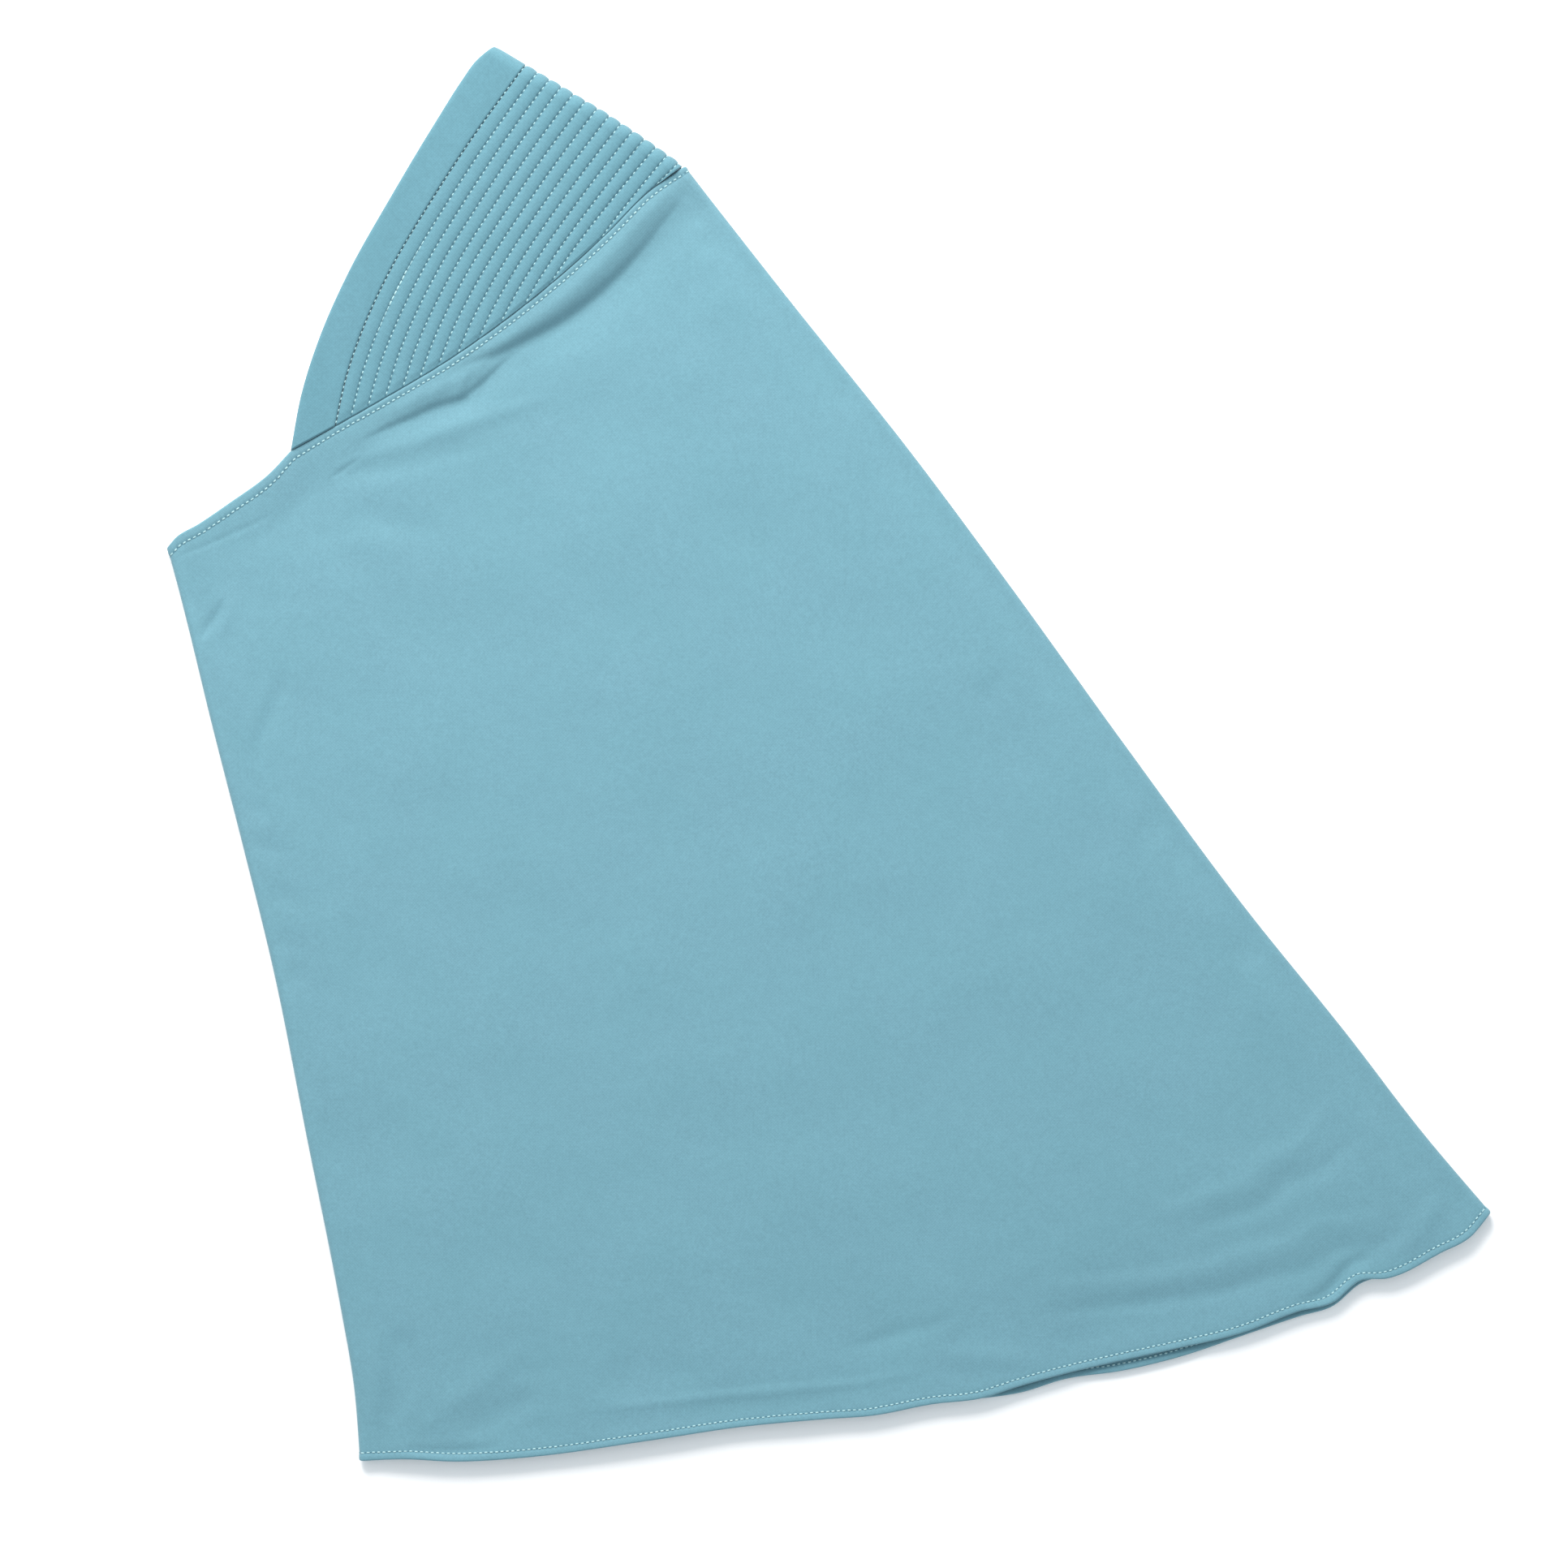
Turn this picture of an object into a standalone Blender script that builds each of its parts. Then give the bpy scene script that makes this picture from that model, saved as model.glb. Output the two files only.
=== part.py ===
"""An instant khimar veil of jersey cloth, lying flat and folded in half.

The cape is a tube of cloth pressed into two layers, with a rounded fold at the back and at the front.
The padded visor is a quilted sheet folded over the crown. The veil lies on Z = 0, the crown points
up-left in +Y and -X, and the hem runs along the bottom in -Y. Lengths are in metres.
"""

import math

import bpy
import numpy as np

MM = 0.001

# Outline, as real lengths and the directions they run in, in degrees from +X
SEAM_CHORD = 239.5 * MM
SEAM_HEADING = 35.9
CHIN_EDGE = 77.5 * MM
CHIN_HEADING = 217.9
FRONT_FOLD = 460.0 * MM
FRONT_HEADING = -78.1
BACK_FOLD = 651.0 * MM
BACK_HEADING = -52.4
CROWN_HEADING = 147.8

# Visor, measured along the crown from the face edge to the seam
FACE_BAND = 18.4 * MM
QUILT_PITCH = 6.9 * MM
QUILT_ROWS = 14
BACK_TAIL = 2.9 * MM
CROWN_FOLD = FACE_BAND + (QUILT_ROWS - 1) * QUILT_PITCH + BACK_TAIL

# Cloth and padding
CLOTH_WALL = 1.2 * MM
HEM_WALL = 2.0 * MM
NECK_HEM_WIDTH = 4.6 * MM
BOTTOM_HEM_WIDTH = 5.0 * MM
RIB_PADDING = 4.0 * MM
BAND_PADDING = 3.2 * MM
STITCHED_PADDING = 1.8 * MM
SEAM_SLOPE = 4.0 * MM
BACK_RUN = 2.0 * MM
PIECE_GAP = 0.3 * MM

# Room between the two layers, and the runs over which a layer changes height
CAPE_ROOM = 6.0 * MM
LEAF_ROOM = 4.8 * MM
NECK_RUN = 45.0 * MM
HEM_RUN = 16.0 * MM

# Outline tables: share of the edge's length, bow to the outside as a share of that length
BACK_BOW = [(0.0, 0.0), (0.12, 0.001), (0.28, 0.0036), (0.40, 0.0015), (0.55, -0.0032), (0.70, -0.0063),
            (0.83, -0.0036), (0.92, -0.0037), (1.0, 0.0)]
FRONT_BOW = [(0.0, 0.0), (0.08, -0.010), (0.17, -0.0135), (0.35, -0.0155), (0.54, -0.0174), (0.67, -0.013),
             (0.80, -0.0075), (0.95, -0.0026), (1.0, 0.0)]
CHIN_BOW = [(0.0, 0.0), (0.08, 0.018), (0.25, -0.004), (0.50, -0.021), (0.80, -0.03), (1.0, 0.0)]
CROWN_BOW = [(0.0, 0.0), (0.15, 0.007), (0.35, 0.012), (0.62, 0.0155), (0.80, 0.0105), (1.0, 0.0)]
SEAM_BOW = [(0.0, 0.0), (0.09, 0.0), (0.20, 0.018), (0.32, 0.032), (0.48, 0.041), (0.62, 0.040),
            (0.80, 0.024), (0.92, 0.010), (1.0, 0.0)]
# Hem: share from the back fold, bow of the upper layer, bow of the lower layer
HEM_BOW = [(0.0, 0.0, 0.0), (0.02, 0.015, 0.015), (0.05, 0.025, 0.025), (0.10, 0.036, 0.034),
           (0.125, 0.034, 0.036), (0.155, 0.046, 0.050), (0.23, 0.055, 0.058), (0.29, 0.056, 0.0645),
           (0.34, 0.056, 0.065), (0.40, 0.058, 0.061), (0.45, 0.061, 0.0645), (0.50, 0.058, 0.057),
           (0.60, 0.050, 0.049), (0.67, 0.042, 0.040), (0.75, 0.036, 0.034), (0.86, 0.027, 0.025),
           (0.93, 0.015, 0.014), (1.0, 0.0, 0.0)]

# Quilting: share of the rows from first to last, share of the seam from the back, bow of the row
ROW_TABLE = [(0.0, 0.896, 0.0587), (0.08, 0.858, 0.052), (0.23, 0.779, 0.047), (0.54, 0.605, 0.034),
             (0.77, 0.435, 0.022), (0.85, 0.363, 0.016), (0.92, 0.238, 0.010), (1.0, 0.084, 0.0)]
FACE_EDGE_BOW = 0.0627
# Shape of a row: share from the crown to the seam, share of its bow, and what the crown's tip adds
ROW_SHAPE = [(0.0, 0.0, 0.0), (0.05, 0.13, 0.20), (0.10, 0.26, 0.20), (0.20, 0.50, 0.12),
             (0.40, 0.83, 0.03), (0.60, 1.0, 0.0), (0.75, 0.88, 0.0), (0.88, 0.55, 0.0), (1.0, 0.0, 0.0)]
# Sections of the padding: share across, share of the fullness
RIB_SECTION = [(0.0, 0.0), (0.25, 0.82), (0.5, 1.0), (0.75, 0.82)]
BAND_SECTION = [(0.0, 0.0), (0.10, 0.75), (0.45, 1.0), (0.82, 0.9), (1.0, 0.0)]

# Folds of the upper layer: across and down at each end, then half width and height as shares of the
# widest and the highest fold. A negative height is a dip.
FOLD_REACH = 24.0 * MM
FOLD_RISE = 2.2 * MM
CAPE_FOLDS = [(0.06, 0.018, 0.55, 0.022, 0.25, -0.73),
              (0.50, 0.050, 0.68, 0.036, 0.25, -0.64),
              (0.52, 0.100, 0.80, 0.050, 0.46, 0.59),
              (0.60, 0.130, 0.75, 0.100, 0.42, -0.45),
              (0.10, 0.120, 0.20, 0.300, 1.00, -0.36),
              (0.93, 0.160, 0.97, 0.400, 0.50, 0.45),
              (0.90, 0.300, 0.95, 0.520, 0.50, -0.41),
              (0.02, 0.550, 0.10, 0.680, 0.58, 0.45),
              (0.09, 0.900, 0.36, 0.920, 0.42, -0.64),
              (0.12, 0.830, 0.24, 0.860, 0.50, 0.55),
              (0.16, 0.985, 0.40, 0.985, 0.58, 1.00),
              (0.50, 0.930, 0.58, 0.945, 0.42, -0.55),
              (0.54, 0.955, 0.84, 0.965, 0.38, 0.50)]

# How finely each piece is divided
SEAM_STEPS = 15
CHIN_STEPS = 5
FOLD_STEPS = 6
LEAF_STEPS = 7
CAPE_ROWS = [0.0, 0.008, 0.018, 0.032, 0.052, 0.08, 0.12, 0.17, 0.23, 0.30, 0.38, 0.46, 0.54, 0.62, 0.70,
             0.77, 0.83, 0.88, 0.925, 0.96, 0.985, 1.0]
HEM_ROWS = [0.0, 0.5, 1.0]

VEIL_BLUE = (0.18, 0.42, 0.51, 1.0)

for old in list(bpy.data.objects):
    bpy.data.objects.remove(old)
collection = bpy.data.collections.new("khimar_veil")
bpy.context.scene.collection.children.link(collection)


def smooth_row(rows, at, column=1):
    """Cubic through one column of a table, with the slope at each row taken from its neighbours."""
    knots = np.array([row[0] for row in rows])
    values = np.array([row[column] for row in rows])
    slopes = np.gradient(values, knots)
    place = np.clip(np.searchsorted(knots, at, side="right") - 1, 0, len(knots) - 2)
    span = knots[place + 1] - knots[place]
    t = (at - knots[place]) / span
    start_value = (1 + 2 * t) * (1 - t) ** 2 * values[place]
    start_slope = t * (1 - t) ** 2 * span * slopes[place]
    end_value = t * t * (3 - 2 * t) * values[place + 1]
    end_slope = t * t * (t - 1) * span * slopes[place + 1]
    return start_value + start_slope + end_value + end_slope


def ease(share):
    """Smooth step from 1 at share 0 to 0 at share 1."""
    share = np.clip(share, 0.0, 1.0)
    return 1 - share * share * (3 - 2 * share)


def heading(degrees):
    return np.array([math.cos(math.radians(degrees)), math.sin(math.radians(degrees))])


# Corners of the folded veil, in plan, from the point where the face edge meets the seam
JUNCTION = np.zeros(2)
BACK_TOP = JUNCTION + SEAM_CHORD * heading(SEAM_HEADING)
NECK_CORNER = JUNCTION + CHIN_EDGE * heading(CHIN_HEADING)
FRONT_HEM = NECK_CORNER + FRONT_FOLD * heading(FRONT_HEADING)
BACK_HEM = BACK_TOP + BACK_FOLD * heading(BACK_HEADING)
CROWN_TIP = BACK_TOP + CROWN_FOLD * heading(CROWN_HEADING)
SEAM_SHARE = SEAM_CHORD / (SEAM_CHORD + CHIN_EDGE)

# Heights of the middle of each layer
LOWER_CAPE = CLOTH_WALL / 2
UPPER_CAPE = CLOTH_WALL + CAPE_ROOM + CLOTH_WALL / 2
LOWER_LEAF = RIB_PADDING / 2
UPPER_LEAF = RIB_PADDING + LEAF_ROOM + RIB_PADDING / 2
LEAF_BEND = (UPPER_LEAF - LOWER_LEAF) / 2
BACK_END_SHARE = (RIB_PADDING / 2 + LEAF_BEND + SEAM_SLOPE + BACK_RUN) / SEAM_CHORD
LOWER_HEM = HEM_WALL / 2 + PIECE_GAP / 2
UPPER_HEM = UPPER_CAPE + (HEM_WALL - CLOTH_WALL) / 2


def bowed_edge(start, end, rows, share, column=1):
    """Points on a chord, each moved to the left of travel by the table's bow."""
    share = np.asarray(share, dtype=float)
    along = end - start
    left = np.array([-along[1], along[0]])
    bow = smooth_row(rows, share, column)
    return start + share[..., None] * along + bow[..., None] * left


def seam_point(share):
    """The curved seam from the back fold to the junction, bowed towards the cape."""
    return bowed_edge(BACK_TOP, JUNCTION, SEAM_BOW, share)


def visor_seam_point(share):
    """The seam moved to the visor's side by the gap between sewn pieces."""
    step = 0.01
    along = seam_point(np.minimum(share + step, 1.0)) - seam_point(np.maximum(share - step, 0.0))
    along = along / np.linalg.norm(along, axis=-1, keepdims=True)
    right = np.stack([along[..., 1], -along[..., 0]], axis=-1)
    return seam_point(share) + PIECE_GAP * right


def top_edge(across):
    """The cape's upper edge: the seam, then the chin edge to the front fold."""
    across = np.asarray(across, dtype=float)
    sewn = seam_point(np.clip(across / SEAM_SHARE, 0.0, 1.0))
    chin_share = np.clip((across - SEAM_SHARE) / (1 - SEAM_SHARE), 0.0, 1.0)
    chin = bowed_edge(NECK_CORNER, JUNCTION, CHIN_BOW, 1 - chin_share)
    return np.where((across <= SEAM_SHARE)[..., None], sewn, chin)


def cape_plan(across, down, layer):
    """Patch between the top edge, the hem, the back fold and the front fold: the sum of both straight
    blends of opposite edges, less the blend of the four corners."""
    across, down = np.broadcast_arrays(np.asarray(across, dtype=float), np.asarray(down, dtype=float))
    a = across[..., None]
    d = down[..., None]
    top = top_edge(across)
    hem = bowed_edge(BACK_HEM, FRONT_HEM, HEM_BOW, across, column=1 if layer == "upper" else 2)
    back = bowed_edge(BACK_TOP, BACK_HEM, BACK_BOW, down)
    front = bowed_edge(FRONT_HEM, NECK_CORNER, FRONT_BOW, 1 - down)
    corners = ((1 - a) * (1 - d) * BACK_TOP + a * (1 - d) * NECK_CORNER
               + (1 - a) * d * BACK_HEM + a * d * FRONT_HEM)
    return (1 - d) * top + d * hem + (1 - a) * back + a * front - corners


def fold_relief(plan):
    """Soft ridges and dips: each is a bell across its line, and rounds off past its ends."""
    height = np.zeros(plan.shape[:-1])
    for across_a, down_a, across_b, down_b, reach, rise in CAPE_FOLDS:
        start = cape_plan(across_a, down_a, "upper")
        along = cape_plan(across_b, down_b, "upper") - start
        share = np.clip((plan - start) @ along / (along @ along), 0.0, 1.0)
        distance = np.linalg.norm(plan - start - share[..., None] * along, axis=-1)
        height += rise * FOLD_RISE * np.exp(-(distance / (reach * FOLD_REACH)) ** 2)
    return height


def cape_height(across, down, layer):
    """Height of a layer's middle: level, raised at the seam to the visor's leaf and at the hem to the
    turned edge, with the folds on the upper layer."""
    plan = cape_plan(across, down, layer)
    column = np.linalg.norm(cape_plan(across, 1.0, layer) - cape_plan(across, 0.0, layer), axis=-1)
    near_top = ease(down * column / NECK_RUN)
    near_hem = ease((1 - down) * column / HEM_RUN)
    chin_share = ease((across - SEAM_SHARE) / (1 - SEAM_SHARE))
    if layer == "lower":
        top = LOWER_HEM + (LOWER_LEAF - LOWER_HEM) * chin_share
        return LOWER_CAPE + (top - LOWER_CAPE) * near_top + (LOWER_HEM - LOWER_CAPE) * near_hem
    top = UPPER_HEM + (UPPER_LEAF - UPPER_HEM) * chin_share
    level = UPPER_CAPE + (top - UPPER_CAPE) * near_top + (UPPER_HEM - UPPER_CAPE) * near_hem
    return level + fold_relief(plan)


def from_top(distance):
    """A place on a column of the cape, given from its top."""
    return lambda column: np.full_like(column, distance)


def from_hem(distance):
    """A place on a column of the cape, given from the hem's edge."""
    return lambda column: column - distance


def tube_ring(start, end, shares):
    """Middle surface of a stretch of the cape's tube, as rows of closed rings. Each ring runs over the
    upper layer, round the front fold as a half circle, back under the lower layer and round the back
    fold. start and end give a distance down each column for its length."""
    run = np.concatenate([np.linspace(0.0, SEAM_SHARE, SEAM_STEPS + 1),
                          np.linspace(SEAM_SHARE, 1.0, CHIN_STEPS + 1)[1:]])
    bend = np.linspace(0.0, math.pi, FOLD_STEPS + 1)[1:-1]
    shares = np.asarray(shares)[:, None]

    def down_at(across, layer):
        column = np.linalg.norm(cape_plan(across, 1.0, layer) - cape_plan(across, 0.0, layer), axis=-1)
        return (start(column) + shares * (end(column) - start(column))) / column

    def fold(side, down):
        """At a fold: the cloth's width for a share of 1, the bend's radius and the height of its middle."""
        step = 0.01
        beside = cape_plan(abs(side - step), down, "upper")
        width = np.linalg.norm(beside - cape_plan(side, down, "upper"), axis=-1) / step
        high = cape_height(side, down, "upper")
        low = cape_height(side, down, "lower")
        return width, (high - low) / 2, (high + low) / 2

    def layer_run(layer, across):
        down = down_at(across, layer)
        back_width, back_radius, _ = fold(0.0, down)
        front_width, front_radius, _ = fold(1.0, down)
        first = (CLOTH_WALL / 2 + back_radius) / back_width
        last = 1 - (CLOTH_WALL / 2 + front_radius) / front_width
        placed = first + across * (last - first)
        height = cape_height(placed, down, layer)
        return np.concatenate([cape_plan(placed, down, layer), height[..., None]], axis=-1)

    def half_circle(side, angles):
        side_array = np.full(angles.shape, side)
        down = (down_at(side_array, "upper") + down_at(side_array, "lower")) / 2
        width, radius, middle = fold(side, down)
        inset = (CLOTH_WALL / 2 + radius * (1 - np.sin(angles))) / width
        plan = cape_plan(np.abs(side - inset), down, "upper")
        return np.concatenate([plan, (middle + radius * np.cos(angles))[..., None]], axis=-1)

    return np.concatenate([layer_run("upper", run), half_circle(1.0, bend),
                           layer_run("lower", run[::-1]), half_circle(0.0, bend[::-1])], axis=1)


def visor_plan(row, share, shift=0.0):
    """A line of the visor from the crown fold to the seam. Row 0 is the face edge, 1 is the first stitch
    row, and the lines between and beyond follow the same family of bowed curves."""
    quilt_share = max(row - 1, 0.0) / (QUILT_ROWS - 1)
    if row < 1:
        crown_place = row * FACE_BAND
        seam_share = 1.0 + row * (ROW_TABLE[0][1] - 1.0)
        bow = FACE_EDGE_BOW + row * (ROW_TABLE[0][2] - FACE_EDGE_BOW)
    elif row <= QUILT_ROWS:
        crown_place = FACE_BAND + (row - 1) * QUILT_PITCH
        seam_share = smooth_row(ROW_TABLE, quilt_share, 1)
        bow = smooth_row(ROW_TABLE, quilt_share, 2)
    else:
        past = row - QUILT_ROWS
        crown_place = CROWN_FOLD - (1 - past) * BACK_TAIL - past * PIECE_GAP
        seam_share = ROW_TABLE[-1][1] + past * (BACK_END_SHARE - ROW_TABLE[-1][1])
        bow = 0.0
    start = bowed_edge(CROWN_TIP, BACK_TOP, CROWN_BOW, crown_place / CROWN_FOLD)
    along = visor_seam_point(seam_share) - start
    left = np.array([-along[1], along[0]])
    side = smooth_row(ROW_SHAPE, share, 1) + max(1 - 2 * row, 0.0) * smooth_row(ROW_SHAPE, share, 2)
    plan = start + share[:, None] * along - (bow * side)[:, None] * left
    return plan + shift * left / np.linalg.norm(left)


def visor_column(row, inset, shift=0.0):
    """One line of the visor's middle surface, from the upper leaf's seam edge over the crown to the
    lower leaf's, and its share of the full padding at each point. inset is half the padding at the
    crown fold."""
    length = np.linalg.norm(np.diff(visor_plan(row, np.array([0.0, 1.0])), axis=0))
    leaf = np.append(np.linspace(inset + LEAF_BEND, length - SEAM_SLOPE, LEAF_STEPS), length)
    angles = np.linspace(0.0, math.pi, FOLD_STEPS + 1)[1:-1]
    distance = np.concatenate([leaf[::-1], inset + LEAF_BEND * (1 - np.sin(angles)), leaf])
    height = np.concatenate([np.full(len(leaf), UPPER_LEAF),
                             (UPPER_LEAF + LOWER_LEAF) / 2 + LEAF_BEND * np.cos(angles),
                             np.full(len(leaf), LOWER_LEAF)])
    full = np.ones(len(distance))
    full[[0, -1]] = 0.0
    plan = visor_plan(row, distance / length, shift)
    return np.concatenate([plan, height[:, None]], axis=1), full


def cloth_material(name, roughness):
    """The piece's own finish: matt dusty blue cloth."""
    material = bpy.data.materials.new(name)
    material.use_nodes = True
    shader = material.node_tree.nodes["Principled BSDF"]
    shader.inputs["Base Color"].default_value = VEIL_BLUE
    shader.inputs["Roughness"].default_value = roughness
    shader.inputs["Metallic"].default_value = 0.0
    return material


def cloth_sheet(name, points, thickness, roughness, ring=False, fullness=None):
    """Skin a grid of points as an open surface and give it its thickness to both sides. fullness is
    each point's share of that thickness."""
    rows, columns = points.shape[:2]
    index = np.arange(rows * columns).reshape(rows, columns)
    if ring:
        index = np.concatenate([index, index[:, :1]], axis=1)
    quads = np.stack([index[:-1, :-1], index[:-1, 1:], index[1:, 1:], index[1:, :-1]], axis=-1)
    mesh = bpy.data.meshes.new(name)
    mesh.from_pydata(points.reshape(-1, 3).tolist(), [], quads.reshape(-1, 4).tolist())
    mesh.shade_smooth()
    mesh.materials.append(cloth_material(name, roughness))
    piece = bpy.data.objects.new(name, mesh)
    collection.objects.link(piece)
    wall = piece.modifiers.new("Cloth wall", "SOLIDIFY")
    wall.thickness = thickness
    wall.offset = 0.0
    if fullness is not None:
        padding = piece.vertex_groups.new(name="Padding")
        for vertex, share in enumerate(fullness.ravel()):
            padding.add([vertex], float(share), "REPLACE")
        wall.vertex_group = "Padding"
    piece.modifiers.new("Even shading", "WEIGHTED_NORMAL")


def make_cape():
    """The cape's tube between its two turned edges."""
    rings = tube_ring(from_top(NECK_HEM_WIDTH + PIECE_GAP), from_hem(BOTTOM_HEM_WIDTH + PIECE_GAP), CAPE_ROWS)
    cloth_sheet("cape", rings, CLOTH_WALL, 0.85, ring=True)


def make_hems():
    """The doubled cloth at the neck edge and at the bottom."""
    neck = tube_ring(from_top(0.0), from_top(NECK_HEM_WIDTH), HEM_ROWS)
    cloth_sheet("neck_hem", neck, HEM_WALL, 0.8, ring=True)
    bottom = tube_ring(from_hem(BOTTOM_HEM_WIDTH), from_hem(0.0), HEM_ROWS)
    cloth_sheet("bottom_hem", bottom, HEM_WALL, 0.8, ring=True)


def make_visor():
    """The plain face band and the ribbed peak, which meet at the first stitch row."""
    band = []
    for across, share in BAND_SECTION:
        crown_depth = STITCHED_PADDING + (BAND_PADDING - STITCHED_PADDING) * share
        points, full = visor_column(across, crown_depth / 2, shift=-across * PIECE_GAP / 2)
        depth = STITCHED_PADDING + (crown_depth - STITCHED_PADDING) * full
        band.append((points, depth / BAND_PADDING))
    cloth_sheet("face_band", np.stack([points for points, _ in band]), BAND_PADDING, 0.8,
                fullness=np.stack([depth for _, depth in band]))

    peak = []
    for rib in range(1, QUILT_ROWS):
        for across, share in RIB_SECTION:
            shift = PIECE_GAP / 2 if rib == 1 and across == 0.0 else 0.0
            points, full = visor_column(rib + across, RIB_PADDING / 2, shift)
            depth = STITCHED_PADDING + (RIB_PADDING - STITCHED_PADDING) * share * full
            peak.append((points, depth / RIB_PADDING))
    for row in (QUILT_ROWS, QUILT_ROWS + 1):
        points, full = visor_column(row, RIB_PADDING / 2)
        peak.append((points, np.full(len(full), STITCHED_PADDING / RIB_PADDING)))
    cloth_sheet("quilted_peak", np.stack([points for points, _ in peak]), RIB_PADDING, 0.8,
                fullness=np.stack([depth for _, depth in peak]))


def face_outwards(piece):
    """Turn the sheet's faces so that the upper layer's point up."""
    mesh = piece.data
    highest = max(mesh.polygons, key=lambda face: face.center.z)
    if highest.normal.z < 0:
        mesh.flip_normals()


def centre_on_floor(pieces):
    """Put the middle of the whole veil's plan over the origin."""
    depsgraph = bpy.context.evaluated_depsgraph_get()
    corners = []
    for piece in pieces:
        mesh = piece.evaluated_get(depsgraph).data
        places = np.empty(len(mesh.vertices) * 3, dtype=np.float32)
        mesh.vertices.foreach_get("co", places)
        corners.append(places.reshape(-1, 3))
    places = np.concatenate(corners)
    middle = (places.min(axis=0) + places.max(axis=0)) / 2
    for piece in pieces:
        piece.location = (-float(middle[0]), -float(middle[1]), -float(places[:, 2].min()))


make_cape()
make_hems()
make_visor()
for piece in collection.objects:
    face_outwards(piece)
centre_on_floor(list(collection.objects))
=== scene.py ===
"""Looks of a jersey khimar veil, laid flat and folded in half, seen straight from above.

Every cloth piece is a grid of points worked out with numpy: a middle surface, given a thickness to both
sides. Lengths are in metres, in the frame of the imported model.
"""

import math

import bpy
import numpy as np
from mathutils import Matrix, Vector


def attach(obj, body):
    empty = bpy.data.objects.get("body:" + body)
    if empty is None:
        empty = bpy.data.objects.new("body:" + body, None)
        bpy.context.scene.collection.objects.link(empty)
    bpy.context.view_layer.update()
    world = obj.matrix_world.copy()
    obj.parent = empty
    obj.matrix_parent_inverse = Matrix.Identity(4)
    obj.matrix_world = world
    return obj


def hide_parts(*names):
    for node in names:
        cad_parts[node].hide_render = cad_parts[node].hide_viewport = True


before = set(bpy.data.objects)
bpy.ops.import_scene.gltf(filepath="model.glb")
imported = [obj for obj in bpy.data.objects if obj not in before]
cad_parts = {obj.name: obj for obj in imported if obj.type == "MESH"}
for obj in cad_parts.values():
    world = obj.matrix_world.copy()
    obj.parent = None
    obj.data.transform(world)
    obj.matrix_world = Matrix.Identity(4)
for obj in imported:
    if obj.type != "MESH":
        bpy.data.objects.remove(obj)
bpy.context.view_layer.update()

MM = 0.001

# Outline of the folded veil: real lengths, and directions in degrees from +X
JUNCTION = np.array([-0.2649, 0.1491])
SEAM_CHORD = 239.5 * MM
SEAM_HEADING = 35.9
CHIN_EDGE = 77.5 * MM
CHIN_HEADING = 217.9
FRONT_FOLD = 460.0 * MM
FRONT_HEADING = -78.1
BACK_FOLD = 651.0 * MM
BACK_HEADING = -52.4
CROWN_HEADING = 147.8

# Visor, measured along the crown from the face edge to the seam
FACE_BAND = 18.4 * MM
QUILT_PITCH = 6.9 * MM
QUILT_ROWS = 14
BACK_TAIL = 2.9 * MM
CROWN_FOLD = FACE_BAND + (QUILT_ROWS - 1) * QUILT_PITCH + BACK_TAIL

# Cloth and padding
CLOTH_WALL = 1.2 * MM
HEM_WALL = 2.0 * MM
RIB_PADDING = 4.0 * MM
BAND_PADDING = 3.3 * MM
STITCHED_PADDING = 1.8 * MM
PIECE_GAP = 0.3 * MM
CAPE_ROOM = 6.0 * MM
LEAF_ROOM = 4.8 * MM
NECK_RUN = 26.0 * MM
HEM_RUN = 16.0 * MM
TURNED_PAST = 0.8 * MM

# Where the topstitch runs, from the edge: beside the seam, on the chin edge and on the bottom hem
SEAM_TOPSTITCH = 3.0 * MM
CHIN_TOPSTITCH = 4.9 * MM
HEM_TOPSTITCH = 3.9 * MM
SEAM_PITCH = 2.85 * MM
HEM_PITCH = 2.65 * MM
QUILT_STITCH = 2.8 * MM

# The upper layer falls off beside the pressed folds: reach and depth
FOLD_EASE = 13.0 * MM
FOLD_DROP = 1.9 * MM

# Outline tables: share of the edge's length, bow to the outside as a share of that length
BACK_BOW = [(0.0, 0.0), (0.12, 0.001), (0.28, 0.0036), (0.40, 0.0015), (0.55, -0.0032), (0.70, -0.0063),
            (0.83, -0.0036), (0.92, -0.0037), (1.0, 0.0)]
FRONT_BOW = [(0.0, 0.0), (0.08, -0.010), (0.17, -0.0135), (0.35, -0.0155), (0.54, -0.0174), (0.67, -0.013),
             (0.80, -0.0075), (0.95, -0.0026), (1.0, 0.0)]
CHIN_BOW = [(0.0, 0.0), (0.08, 0.018), (0.25, -0.004), (0.50, -0.021), (0.80, -0.03), (1.0, 0.0)]
CROWN_BOW = [(0.0, 0.0), (0.15, 0.007), (0.35, 0.012), (0.62, 0.0155), (0.80, 0.0105), (1.0, 0.0)]
SEAM_BOW = [(0.0, 0.0), (0.09, 0.0), (0.20, 0.018), (0.32, 0.032), (0.48, 0.041), (0.62, 0.040),
            (0.80, 0.024), (0.92, 0.010), (1.0, 0.0)]
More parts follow.
